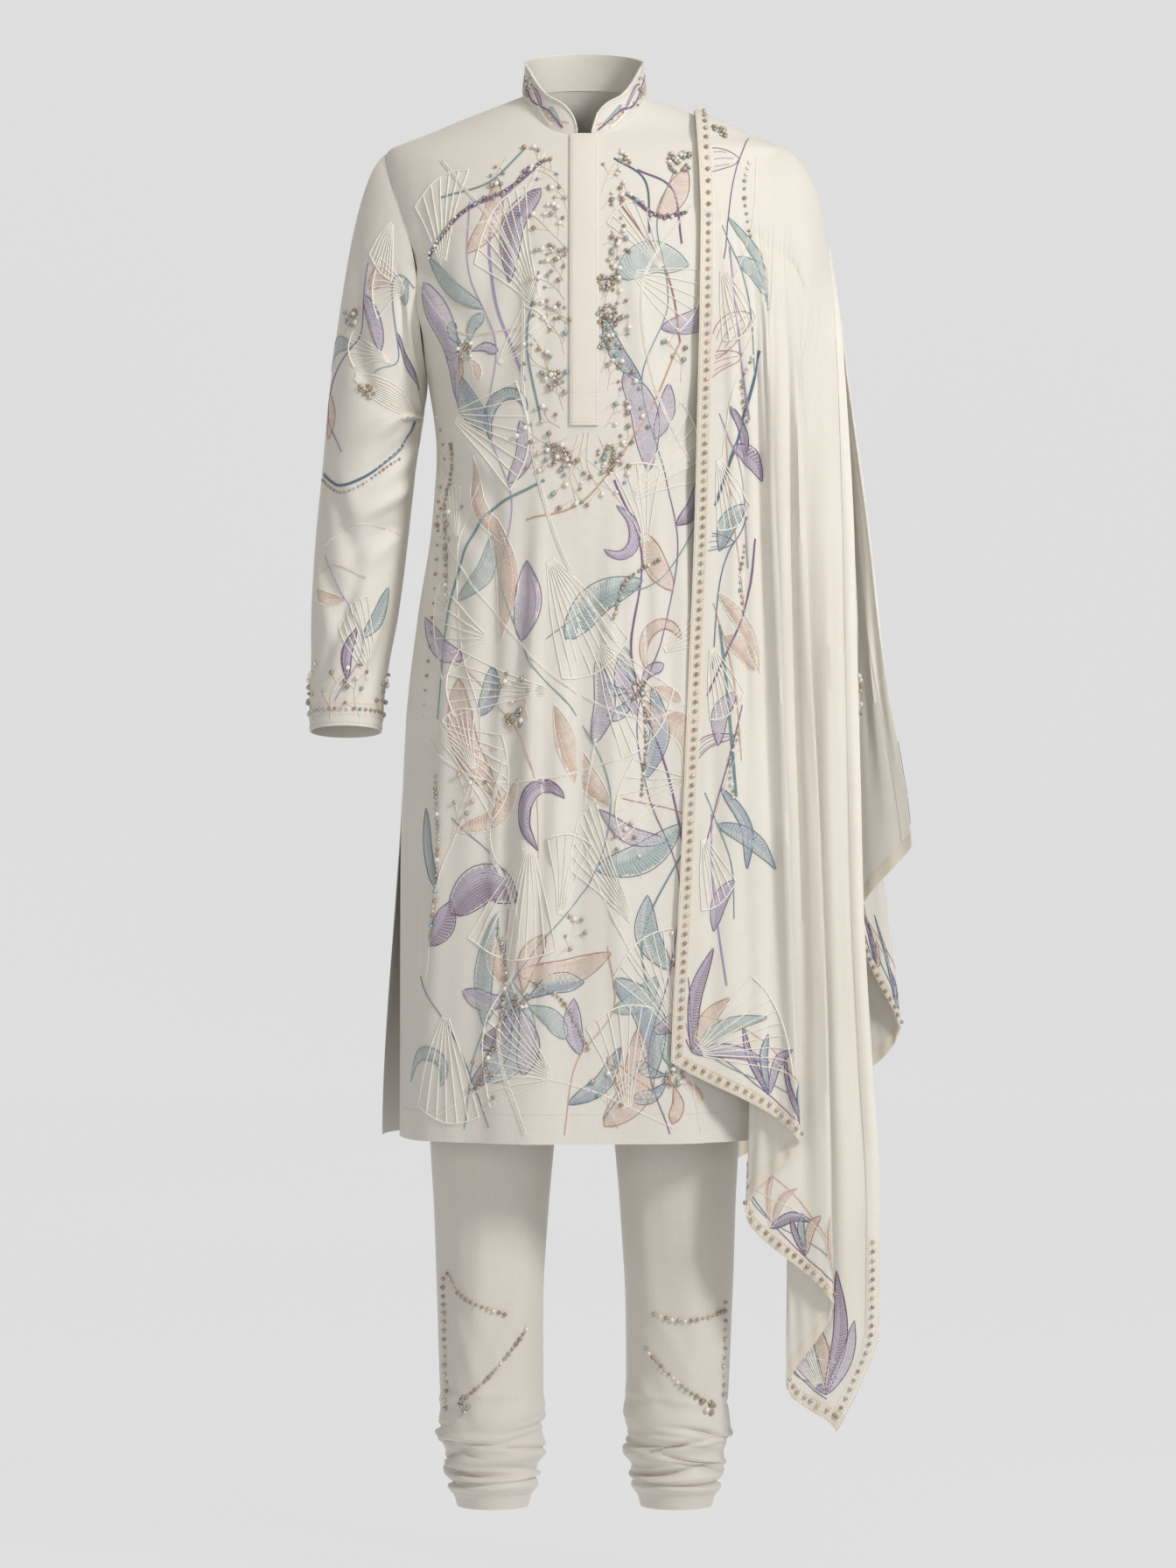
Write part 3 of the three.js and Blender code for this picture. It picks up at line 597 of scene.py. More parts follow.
# The spare length that rings the ankle: tilt lifts the side at "turn" degrees
ANKLE_ROLLS = table("at reach bulge tilt turn", [
    (-1356, 13, 3.5, 6, 160),
    (-1380, 8.5, 6, 5, 20),
    (-1398, 7, 5.5, 4, 200),
    (-1413, 6, 5, 3, 70),
    (-1427, 5.5, 4.5, 2, 250),
])
ANKLE_PINCHES = table("at reach bulge tilt turn centre spread", [
    (-1338, 5, 1.6, 10, 200, 250, 70),
    (-1349, 3.2, -2.6, 10, 30, 70, 80),
    (-1362, 3.8, 2.0, 12, 150, 300, 60),
    (-1371, 2.6, -4.6, 9, 60, 225, 64),
    (-1374, 2.4, -4.2, 14, 240, 320, 44),
    (-1372, 2.6, -4.2, 10, 120, 60, 90),
    (-1381, 3.0, 2.2, 9, 220, 270, 50),
    (-1388, 2.2, -4.4, 16, 330, 262, 34),
    (-1391, 2.0, -4.6, 12, 170, 292, 46),
    (-1390, 2.2, -4.2, 8, 190, 110, 110),
    (-1397, 2.4, 1.8, 9, 40, 240, 44),
    (-1404, 1.9, -4.4, 10, 210, 316, 40),
    (-1405, 1.9, -4.0, 6, 20, 236, 64),
    (-1406, 2.0, -3.8, 5, 250, 60, 100),
    (-1413, 2.0, 1.5, 5, 30, 200, 70),
    (-1419, 1.7, -3.4, 3, 120, 290, 130),
    (-1421, 1.7, -3.0, 3, 120, 90, 110),
])


def leg_turn(around, z):
    form = LEG(z)
    depth = np.where(around > 0, form["back"], form["front"])
    return around * np.minimum(np.radians(form["wrap"]), math.pi - SEAM / 2 / depth), depth


def leg_form(around, z):
    """around goes from -1 at the front edge of the leg's cloth, over 0 at the outer side, to 1 at its back edge."""
    form = LEG(z)
    turn, depth = leg_turn(around, z)
    wrap = np.abs(turn / np.where(around == 0, 1, around))
    wrap = np.where(around == 0, np.radians(form["wrap"]), wrap)
    middle = (form["inner"] - form["outer"] * np.cos(wrap)) / (1 - np.cos(wrap))
    swell = 0.0
    for roll in ANKLE_ROLLS:
        height = roll["at"] + roll["tilt"] * np.cos(turn - math.radians(roll["turn"]))
        swell = swell + roll["bulge"] * np.exp(-(((z - height) / roll["reach"]) ** 2))
    fade = 1 - np.exp(-(((1 - np.abs(around)) / 0.02) ** 2)) * 0.996
    x = middle + (form["outer"] - middle + swell) * np.cos(turn)
    y = depth * np.sin(turn) + swell * np.sin(turn) * fade
    return np.stack([x, y, z + 0 * turn], -1)


# Creases of a leg: round from its outer side (positive to the back) and up
LEG_CREASES = table("x0 y0 x1 y1 wide deep bow", [
    (-78, -1080, -62, -1330, 9, 2.0, 6),
    (-38, -1070, -50, -1290, 10, -1.8, -5),
    (-108, -1100, -96, -1300, 9, -1.6, 4),
    (-20, -1180, -84, -1345, 7, 1.8, 8),
    (-130, -1220, -60, -1350, 7, 1.6, -7),
    (-8, -1280, -76, -1362, 6, -1.7, 5),
    (-140, -1290, -90, -1362, 6, -1.5, -5),
    (60, -1080, 70, -1310, 10, 1.8, 6),
    (110, -1100, 96, -1300, 10, -1.8, -5),
    (30, -1190, 100, -1340, 8, 1.6, 7),
    (20, -800, 8, -1200, 12, -1.6, 5),
    (-60, -740, -50, -1040, 12, 1.8, 0),
])
LEG_RADIUS = 55.0
leg_waves = ripple(9, 120, 0.5)


def leg_reach(around, z):
    return around * math.pi * LEG_RADIUS, z


leg_folds = folds(LEG_CREASES, leg_reach)


def leg_relief_for(shift):
    """The same kinds of creases on each leg, in other places: shift turns and lifts them."""

    def relief(around, z):
        turn = around * 180
        total = leg_folds(around, z + shift * 0.3) + leg_waves(np.sin(around * math.pi) * 60 + shift, z)
        for pinch in ANKLE_PINCHES:
            place = (turn - pinch["centre"] - shift + 180) % 360 - 180
            height = pinch["at"] + pinch["tilt"] * np.cos(np.radians(turn - pinch["turn"] - shift))
            here = np.exp(-((place / pinch["spread"]) ** 2))
            total = total + 1.35 * pinch["bulge"] * here * np.exp(-(((z - height) / pinch["reach"]) ** 2))
        joined = np.where(z < CROTCH - 30, 1, ease((1 - np.abs(around)) * 12))
        seat = np.where(z > -780, 0.25, 1)
        return total * joined * seat * ease((z - ANKLE_HEM - 14) / 8) * ease((WAIST - z) / 60)

    return relief


leg_left = Cloth(leg_form, (0.004, 0.8), 1, leg_relief_for(0))
leg_right = Cloth(leg_form, (0.004, 0.8), 1, leg_relief_for(65), mirror=True)


# ---------------------------------------------------------------- dupatta

CREST = curves("at x z", [
    (0, 113, -13),
    (0.2, 150, -29),
    (0.4, 185, -45),
    (0.55, 208, -53),
    (0.7, 226, -72),
    (0.85, 242, -108),
    (1, 253, -168),
])
# The folds of each fall turn at ridges (r) and troughs (l): x across and y deep, at each height
FRONT_AT = np.array([0, 0.27, 0.43, 0.64, 0.8, 1])
FRONT_X = curves("at edge r1 l1 r2 l2 end", [
    (-1370, 78, 214, 156, 251, 205, 251),
    (-1315, 80, 214, 158, 250, 205, 281),
    (-1262, 82, 214, 160, 249, 204, 299),
    (-1140, 84, 212, 162, 247, 204, 300),
    (-1000, 86, 209, 165, 245, 205, 292),
    (-790, 96, 202, 168, 238, 205, 282),
    (-580, 105, 195, 170, 228, 204, 277),
    (-440, 111, 190, 173, 224, 206, 273),
    (-310, 114, 186, 178, 219, 212, 266),
    (-215, 116, 182, 185, 213, 224, 257),
    (-125, 117, 170, 188, 206, 222, 250),
])
FRONT_Y = curves("at edge r1 l1 r2 l2 end", [
    (-1370, -146, -134, -112, -98, -82, -58),
    (-1000, -143, -132, -110, -97, -82, -58),
    (-790, -134, -124, -106, -94, -80, -54),
    (-580, -118, -110, -96, -87, -76, -50),
    (-440, -107, -102, -92, -84, -75, -48),
    (-310, -103, -97, -91, -83, -76, -46),
    (-215, -101, -90, -86, -76, -68, -38),
    (-125, -88, -66, -56, -46, -36, -10),
])
FRONT_HEM = curves("at z", [(0, -984), (0.27, -1066), (0.43, -1136), (0.64, -1235), (0.8, -1315), (1, -1363)])
BACK_AT = np.array([0, 0.25, 0.55, 0.7, 0.86, 1])
BACK_X = curves("at edge mid l2 r2 l1 end", [
    (-1130, 94, 195, 284, 330, 286, 350),
    (-962, 96, 194, 275, 326, 285, 345),
    (-770, 100, 190, 264, 306, 282, 338),
    (-580, 105, 184, 252, 284, 279, 309),
    (-440, 108, 178, 242, 268, 274, 292),
    (-310, 110, 172, 232, 252, 264, 274),
    (-215, 112, 165, 222, 240, 250, 260),
    (-125, 113, 160, 213, 230, 242, 252),
])
BACK_Y = curves("at edge mid l2 r2 l1 end", [
    (-1130, 142, 132, 96, 76, 56, 34),
    (-770, 130, 122, 90, 71, 52, 30),
    (-580, 117, 112, 86, 69, 51, 28),
    (-440, 112, 109, 86, 68, 50, 26),
    (-310, 111, 107, 84, 66, 46, 22),
    (-215, 110, 103, 74, 54, 36, 14),
    (-125, 104, 88, 46, 30, 18, 5),
])
BACK_HEM = curves("at z", [(0, -1130), (0.55, -1020), (0.7, -962), (0.86, -850), (1, -770)])
FALLS = {
    "front": (1, FRONT_AT, FRONT_X, FRONT_Y, FRONT_HEM),
    "back": (-1, BACK_AT, BACK_X, BACK_Y, BACK_HEM),
}


def fall_section(which, across, z):
    _, at, xs, ys, _ = FALLS[which]
    across, z = np.broadcast_arrays(np.asarray(across, float), np.asarray(z, float))
    held = np.clip(across, 0, 1)
    x_grid = np.stack(list(xs(z).values()), -1)
    y_grid = np.stack(list(ys(z).values()), -1)
    x_slopes, y_slopes = slopes_of(at, x_grid), slopes_of(at, y_grid)
    beyond = across - held
    side = (beyond > 0).astype(int) * (len(at) - 1)
    extra = lambda slopes: np.take_along_axis(slopes, side[..., None], -1)[..., 0] * beyond
    x = pick(at, x_grid, x_slopes, held) + extra(x_slopes)
    y = pick(at, y_grid, y_slopes, held) + extra(y_slopes)
    return np.stack([x, y, z], -1)


def fall_form(which):
    side, _, _, _, hem = FALLS[which]

    def form(across, down):
        """down is -1 at the crest of the shoulder, 0 where the cloth starts to hang and 1 at the hem."""
        crest = CREST(across)
        start = crest["z"] - CREST_DROP
        z = lerp(start, hem(across)["z"], np.maximum(0, down))
        point = fall_section(which, across, z)
        share = np.clip(down + 1, -0.02, 1)
        bent = np.stack(
            [
                hermite(crest["x"], point[..., 0], 0, (point[..., 0] - crest["x"]) * 0.5, share),
                hermite(-side * SEAM * 0.7 + 0 * z, point[..., 1], point[..., 1] * 1.2, 0, share),
                hermite(crest["z"], point[..., 2], 0, -CREST_DROP * 1.05, share),
            ],
            -1,
        )
        point = np.where((down < 0)[..., None], bent, point)
        depth = torso_depth(point[..., 0], point[..., 2], side)
        bend = np.exp(-(((point[..., 2] - SHOULDER_POINT) / LIE_BEND_REACH) ** 2))
        least = depth + LIE + LIE_ON_BEND[which] * bend
        y = np.where((depth > 0) & (-side * point[..., 1] < least), -side * least, point[..., 1])
        return np.stack([point[..., 0], y, point[..., 2]], -1)

    return form


# Soft creases between the main folds: across as a share of the cloth times 600, and down from the crest
FRONT_FALL_CREASES = table("x0 y0 x1 y1 wide deep bow", [
    (56, 60, 66, 860, 9, 2.4, 6),
    (84, 140, 92, 1300, 9, -2.6, -5),
    (112, 70, 114, 1300, 17, -8.5, 3),
    (150, 60, 151, 1300, 10, 4.6, 0),
    (196, 100, 190, 1000, 7, -1.8, -4),
    (228, 60, 226, 980, 7, 1.8, 5),
    (300, 100, 312, 1020, 8, -2.0, 6),
    (340, 70, 339, 1400, 11, -7.0, 0),
    (370, 60, 371, 1400, 9, 4.4, 0),
    (430, 100, 420, 1100, 7, -1.8, 5),
    (538, 60, 537, 1400, 10, -6.0, 0),
    (562, 60, 562, 1400, 10, 3.8, 0),
    (583, 120, 582, 1400, 5, -2.6, 0),
    (36, 560, 44, 1100, 8, -1.8, 4),
    (270, 600, 262, 1060, 7, 1.6, 3),
])
BACK_FALL_CREASES = table("x0 y0 x1 y1 wide deep bow", [
    (50, 80, 62, 900, 12, 2.4, 6),
    (96, 60, 110, 900, 10, -2.4, -6),
    (150, 90, 168, 900, 11, 2.2, 5),
    (214, 70, 230, 880, 10, -2.4, 6),
    (268, 100, 282, 860, 10, 2.2, -5),
    (372, 80, 380, 800, 9, 1.8, 4),
    (470, 60, 478, 700, 8, -1.8, 4),
    (548, 90, 556, 640, 8, 1.8, -4),
])
DUPATTA_WIDTH = 600.0
crepe = ripple(17, 130, 0.7)
veil_ripples = drawn_ripples(29, 30, 0.5)
ROOM_BEHIND = 9.0  # how far a crease may sink in where the fall hangs free of the kurta


def fall_drop(across, hem):
    """How far the cloth hangs, from where it leaves the shoulder to its hem."""
    return CREST(across)["z"] - CREST_DROP - hem(across)["z"]


def fall_relief_for(rows, hem):
    """The main folds swell towards the hem, and a few soft creases lie between them."""

    def reach(across, down):
        hung = CREST_DROP + down * fall_drop(across, hem)
        return across * DUPATTA_WIDTH, np.where(down < 0, (down + 1) * CREST_DROP, hung)

    lines = folds(rows, reach)

    def relief(across, down):
        x, y = reach(across, down)
        hung = ease((down + 0.9) / 1.2)
        room = lerp(1.6, ROOM_BEHIND, ease((x - 60) / 45) * ease((down + 0.3) * 2))
        return (np.maximum(lines(across, down), -room) + crepe(x, y) + veil_ripples(x, y) * room / 4 + 0.8) * hung

    return relief


fall_front = Cloth(fall_form("front"), (0.004, 0.004), -1, fall_relief_for(FRONT_FALL_CREASES, FRONT_HEM))
fall_back = Cloth(fall_form("back"), (0.004, 0.004), 1, fall_relief_for(BACK_FALL_CREASES, BACK_HEM))


# ---------------------------------------------------------------- collar


def collar_form(around, up):
    """around is a quarter turn at the middle of the front; up is 0 at the neckline and 1 at the top edge."""
    front = np.sin(around) > 0
    reach = np.where(front, NECK_FRONT, NECK_BACK)
    from_end = np.abs(np.cos(around) * NECK_SIDE) - COLLAR_GAP / 2
    near = np.where(front, np.clip(1 - from_end / COLLAR_ROUND, 0, 1), 0)
    tall = COLLAR_HEIGHT * np.where(np.sin(around) > 0.2, 1 - 0.14 * np.sin(around), 1)
    rise = up * tall * np.sqrt(np.maximum(0.03, 1 - near * near))
    out = 0.6 - COLLAR_LEAN * rise / COLLAR_HEIGHT
    x = (NECK_SIDE + out) * np.cos(around)
    y = -(reach + out) * np.sin(around) - 0.08 * rise * np.maximum(0, np.sin(around))
    return np.stack([x, y, neck_height(around) + COLLAR_LIFT + rise], -1)


COLLAR_END = math.asin(COLLAR_GAP / 2 / NECK_SIDE)
collar_cloth = Cloth(collar_form, (0.01, 0.02), -1)


# ---------------------------------------------------------------- meshes


def mesh_of(name, points, faces, uv=None):
    """A mesh from points in millimetres and faces of four corners each; uv is in metres, one pair a point."""
    mesh = bpy.data.meshes.new(name)
    mesh.vertices.add(len(points))
    mesh.vertices.foreach_set("co", (np.asarray(points, float) * MM).ravel())
    mesh.loops.add(faces.size)
    mesh.loops.foreach_set("vertex_index", faces.ravel().astype(np.int32))
    mesh.polygons.add(len(faces))
    mesh.polygons.foreach_set("loop_start", (np.arange(len(faces)) * faces.shape[1]).astype(np.int32))
    mesh.update(calc_edges=True)
    if uv is not None:
        layer = mesh.uv_layers.new(name="cut")
        layer.data.foreach_set("uv", (uv[faces.ravel()] * MM).astype(np.float32).ravel())
    mesh.polygons.foreach_set("use_smooth", np.ones(len(faces), bool))
    mesh.update()
    return mesh


def volume_of(points, quads):
    p = np.asarray(points, float)[quads]
    first = np.einsum("ij,ij->i", p[:, 0], np.cross(p[:, 1], p[:, 2]))
    second = np.einsum("ij,ij->i", p[:, 0], np.cross(p[:, 2], p[:, 3]))
    return (first + second).sum()


def place(name, mesh, finish, slot, nodes=()):
    obj = bpy.data.objects.new(name, mesh)
    bpy.context.scene.collection.objects.link(obj)
    if finish is not None:
        mesh.materials.append(finish)
    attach(obj, "root")
    if nodes:
        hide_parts(*nodes)
    return obj


def wall(name, outer, inner, finish, slot, nodes=(), loop=False):
    """A closed wall of cloth between two grids of points; a loop joins its last column to its first."""
    rows, columns = outer.shape[:2]
    flat = np.arange(rows * columns).reshape(rows, columns)
    if loop:
        flat = np.hstack([flat, flat[:, :1]])
    face = np.stack([flat[:-1, :-1], flat[1:, :-1], flat[1:, 1:], flat[:-1, 1:]], -1).reshape(-1, 4)
    under = face[:, ::-1] + rows * columns
    lid = flat + rows * columns

    def rim(near, far):
        return np.stack([near[:-1], near[1:], far[1:], far[:-1]], -1)

    quads = [face, under, rim(flat[0], lid[0]), rim(lid[-1], flat[-1])]
    if not loop:
        quads += [rim(lid[:, 0], flat[:, 0]), rim(flat[:, -1], lid[:, -1])]
    quads = np.vstack(quads)
    points = np.vstack([outer.reshape(-1, 3), inner.reshape(-1, 3)])
    if volume_of(points, quads) < 0:
        quads = quads[:, ::-1]
    across = np.linalg.norm(np.diff(outer, axis=1), axis=-1).mean(0)
    along = np.linalg.norm(np.diff(outer, axis=0), axis=-1).mean(1)
    u = np.concatenate([[0], np.cumsum(across)])[None, :] + np.zeros((rows, 1))
    v = np.concatenate([[0], np.cumsum(along)])[:, None] + np.zeros((1, columns))
    uv = np.stack([u, v], -1).reshape(-1, 2)
    mesh = mesh_of(name, points, quads, np.vstack([uv, uv]))
    mesh.set_sharp_from_angle(angle=math.radians(55))
    return place(name, mesh, finish, slot, nodes)


def tiled(columns, rows):
    return np.meshgrid(columns, rows)


# ---------------------------------------------------------------- finishes


class Thread:
    """A value in a finish's node tree. Sums on it add Math nodes."""

    def __init__(self, dye, socket):
        self.dye = dye
        self.socket = socket

    def sum(self, operation, first, second):
        return self.dye.node("ShaderNodeMath", {"operation": operation}, {0: first, 1: second})

    def __add__(self, other):
        return self.sum("ADD", self, other)

    __radd__ = __add__

    def __sub__(self, other):
        return self.sum("SUBTRACT", self, other)

    def __rsub__(self, other):
        return self.sum("SUBTRACT", other, self)

    def __mul__(self, other):
        return self.sum("MULTIPLY", self, other)

    __rmul__ = __mul__


class Dye:
    """One finish: a Principled shader with its own values, and one way to add any other node."""

    def __init__(self, name, values):
        self.material = bpy.data.materials.new(name)
        self.material.use_nodes = True
        self.tree = self.material.node_tree
        self.shader = self.tree.nodes["Principled BSDF"]
        self.feed(self.shader, values)

    def feed(self, node, values):
        for key, value in values.items():
            socket = node.inputs[key]
            if isinstance(value, Thread):
                self.tree.links.new(value.socket, socket)
            else:
                socket.default_value = value

    def node(self, kind, settings, values, out=0):
        node = self.tree.nodes.new(kind)
        for key, value in settings.items():
            if key == "stops":
                stops = node.color_ramp.elements
                stops[0].position, stops[1].position = value[0][0], value[-1][0]
                stops[0].color, stops[1].color = grey(value[0][1]), grey(value[-1][1])
                for at, level in value[1:-1]:
                    stops.new(at).color = grey(level)
            else:
                setattr(node, key, value)
        self.feed(node, values)
        return Thread(self, node.outputs[out])

    def cut(self):
        """The cloth's own lengthwise and crosswise measure, in metres."""
        return self.node("ShaderNodeUVMap", {"uv_map": "cut"}, {})

    def object_place(self):
        return self.node("ShaderNodeTexCoord", {}, {}, "Object")

    def noise(self, where, scale, detail=3.0, stretch=None):
        if stretch is not None:
            where = self.node("ShaderNodeMapping", {}, {"Vector": where, "Scale": stretch})
        return self.node("ShaderNodeTexNoise", {}, {"Vector": where, "Scale": scale, "Detail": detail})

    def waves(self, where, scale, direction, distortion=0.0):
        settings = {"wave_type": "BANDS", "bands_direction": direction, "wave_profile": "SIN"}
        return self.node("ShaderNodeTexWave", settings, {"Vector": where, "Scale": scale, "Distortion": distortion})

    def blend(self, share, first, second, mode="MIX"):
        settings = {"data_type": "RGBA", "blend_type": mode}
        return self.node("ShaderNodeMix", settings, {0: share, 6: first, 7: second}, 2)

    def attribute(self, name, out="Color"):
        return self.node("ShaderNodeAttribute", {"attribute_name": name}, {}, out)

    def bump(self, height, strength, distance):
        values = {"Height": height, "Strength": strength, "Distance": distance}
        self.feed(self.shader, {"Normal": self.node("ShaderNodeBump", {}, values)})


def grey(level):
    return (level, level, level, 1.0)


def tone(red, green, blue):
    """A colour given as it looks on a screen, from 0 to 255."""
    linear = [((c / 255 + 0.055) / 1.055) ** 2.4 if c > 10 else c / 255 / 12.92 for c in (red, green, blue)]
    return (*linear, 1.0)


WEAVE_PER_METRE = 190.0  # waves to a metre, divided by the wave node's own factor


def woven(name, light, dark, rough, sheen, weave=0.25, slub=0.35, alpha=1.0):
    """A plain woven cloth: fine warp and weft, uneven yarns and a soft change of colour over its width."""
    dye = Dye(name, {"Sheen Weight": sheen, "Sheen Roughness": 0.45, "Specular IOR Level": 0.3, "Alpha": alpha})
    cut = dye.cut()
    warp = dye.waves(cut, WEAVE_PER_METRE, "X", 0.4)
    weft = dye.waves(cut, WEAVE_PER_METRE, "Y", 0.4)
    yarns = dye.noise(cut, 60.0, 2.0, (14.0, 0.8, 1.0))
    picks = dye.noise(cut, 60.0, 2.0, (0.8, 14.0, 1.0))
    cloudy = dye.noise(dye.object_place(), 7.0, 2.0)
    shade = yarns * 0.3 + picks * 0.3 + cloudy * 0.4
    ramp = dye.node("ShaderNodeValToRGB", {"stops": [(0.3, 0.0), (0.7, 1.0)]}, {"Fac": shade})
    dye.feed(dye.shader, {"Base Color": dye.blend(ramp, dark, light), "Roughness": rough - 0.1 + 0.2 * shade})
    dye.bump(warp * weft * weave + (yarns + picks) * slub, 0.3, 0.0004)
    return dye.material


kurta_finish = woven("ivory_silk_blend", tone(226, 222, 214), tone(214, 209, 200), 0.62, 0.25)
placket_finish = woven("placket_silk", tone(228, 223, 213), tone(220, 214, 202), 0.55, 0.3)
# The churidar's tones are a little darker than the kurta's: painted shade for the light falling off down the legs.
churidar_finish_painted_shade = woven("churidar_satin_painted_shade", tone(220, 215, 206), tone(208, 202, 192), 0.5, 0.3, 0.2, 0.2)
veil_finish = woven("georgette", tone(237, 233, 224), tone(227, 222, 211), 0.68, 0.35, 0.5, 0.3, 0.9)
border_finish = woven("border_silk", tone(230, 222, 208), tone(218, 208, 192), 0.5, 0.3)
hem_finish = woven("plain_hem", tone(237, 233, 224), tone(227, 222, 211), 0.6, 0.3)


def thread_finish():
    """A twisted cord: its own tint, with the twist raised along its run and painted shade darkening the grooves of the
    twist.
    """
    dye = Dye("couched_cord", {"Sheen Weight": 0.4, "Sheen Roughness": 0.3, "Specular IOR Level": 0.45})
    run = dye.attribute("run", "Fac")
    ply = dye.node("ShaderNodeMath", {"operation": "SINE"}, {0: run * (TAU / 0.0016)}) * 0.5 + 0.5
    tint = dye.attribute("tint")
    fuzz = dye.noise(dye.object_place(), 420.0, 2.0)
    # The ply darkens the grooves of the twist: painted shade. The fuzz darkens it unevenly as the cord's own tone.
    shaded = dye.blend(ply * 0.12 + fuzz * 0.12, tint, (0.4, 0.37, 0.34, 1.0), "MULTIPLY")
    dye.feed(dye.shader, {"Base Color": shaded, "Roughness": 0.4 + 0.2 * fuzz})
    dye.bump(ply, 0.6, 0.0004)
    return dye.material


def satin_finish():
    """Satin stitch: threads laid side by side across a shape, each a little lighter or darker, with painted shade in
    the grooves between the strands.
    """
    dye = Dye("satin_stitch", {"Sheen Weight": 0.5, "Sheen Roughness": 0.25, "Specular IOR Level": 0.5})
    cut = dye.cut()
    floss = dye.noise(cut, 90.0, 3.0, (0.15, 16.0, 1.0))
    strands = dye.waves(cut, 420.0, "Y", 1.5)
    gaps = dye.waves(cut, 104.0, "Y", 1.0)
    tint = dye.blend(gaps * 0.5 + floss * 0.2, dye.attribute("tint"), tone(226, 222, 213))
    # The strands darken the grooves between threads: painted shade. The floss makes each thread a little lighter or
    # darker.
    shaded = dye.blend(floss * 0.28 + strands * 0.12, tint, (0.45, 0.42, 0.44, 1.0), "MULTIPLY")
    dye.feed(dye.shader, {"Base Color": shaded, "Roughness": 0.3 + 0.35 * floss})
    dye.bump(strands * 0.4 + floss * 0.6 - gaps, 0.6, 0.0006)
    return dye.material


def bead_finish():
    """Beads of metal and pearl, told apart by their own tint and share of metal."""
    dye = Dye("beads", {"Coat Weight": 0.5, "Coat Roughness": 0.1, "Specular IOR Level": 0.6})
    metal = dye.attribute("metal", "Fac")
    speck = dye.noise(dye.object_place(), 700.0, 1.0)
    tint = dye.blend(speck * 0.5, dye.attribute("tint"), (0.5, 0.46, 0.44, 1.0), "MULTIPLY")
    dye.feed(dye.shader, {"Base Color": tint, "Metallic": metal, "Roughness": 0.26 + 0.2 * speck})
    return dye.material


def stitch_finish():
    dye = Dye("sewing_thread", {"Sheen Weight": 0.3, "Specular IOR Level": 0.4})
    fuzz = dye.noise(dye.object_place(), 900.0, 2.0)
    shaded = dye.blend(fuzz, tone(224, 215, 198), tone(200, 190, 172))
    dye.feed(dye.shader, {"Base Color": shaded, "Roughness": 0.5 + 0.2 * fuzz})
    return dye.material


cord_finish = thread_finish()
floss_finish = satin_finish()
beads_finish = bead_finish()
sewn_finish = stitch_finish()


# ---------------------------------------------------------------- what repeats, by Geometry Nodes


def new_tree(name, sizes):
    """An empty node group with a geometry input, named sizes, a material and a geometry output."""
    tree = bpy.data.node_groups.new(name, "GeometryNodeTree")
    tree.interface.new_socket("Geometry", in_out="INPUT", socket_type="NodeSocketGeometry")
    for label, value in sizes.items():
        socket = tree.interface.new_socket(label, in_out="INPUT", socket_type="NodeSocketFloat")
        socket.default_value = value
    tree.interface.new_socket("Material", in_out="INPUT", socket_type="NodeSocketMaterial")
    tree.interface.new_socket("Geometry", in_out="OUTPUT", socket_type="NodeSocketGeometry")
    entry = tree.nodes.new("NodeGroupInput").outputs
    leave = tree.nodes.new("NodeGroupOutput").inputs

    def node(kind, settings=None, **links):
        made = tree.nodes.new(kind)
        for key, value in (settings or {}).items():
            setattr(made, key, value)
        for key, value in links.items():
            socket = made.inputs[key.replace("_", " ")]
            if isinstance(value, bpy.types.NodeSocket):
                tree.links.new(value, socket)
            else:
                socket.default_value = value
        return made.outputs

    def finish(geometry):
        real = node("GeometryNodeRealizeInstances", Geometry=geometry)[0]
        made = node("GeometryNodeSetMaterial", Geometry=real, Material=entry["Material"])[0]
        tree.links.new(made, leave[0])

    return tree, entry, node, finish


def named(node, name, kind):
    return node("GeometryNodeInputNamedAttribute", {"data_type": kind}, Name=name)[0]


def sewn_on_tree(name, segments, rings):
    """One small rounded thing at each point, turned to the point's "along" and "facing" and of its "size"."""
    sizes = {"Length": 1.0, "Width": 1.0, "Height": 1.0}
    tree, entry, node, finish = new_tree(name, sizes)
    ball = node("GeometryNodeMeshUVSphere", Segments=segments, Rings=rings, Radius=1.0)[0]
    scale = node("ShaderNodeCombineXYZ", X=entry["Length"], Y=entry["Width"], Z=entry["Height"])[0]
    shape = node("GeometryNodeTransform", Geometry=ball, Scale=scale)[0]
    smooth = node("GeometryNodeSetShadeSmooth", Geometry=shape)[0]
    turn = node(
        "FunctionNodeAxesToRotation",
        {"primary_axis": "Z", "secondary_axis": "X"},
        Primary_Axis=named(node, "facing", "FLOAT_VECTOR"),
        Secondary_Axis=named(node, "along", "FLOAT_VECTOR"),
    )[0]
    spread = node(
        "GeometryNodeInstanceOnPoints",
        Points=entry["Geometry"],
        Instance=smooth,
        Rotation=turn,
        Scale=named(node, "size", "FLOAT"),
    )[0]
    finish(spread)
    return tree


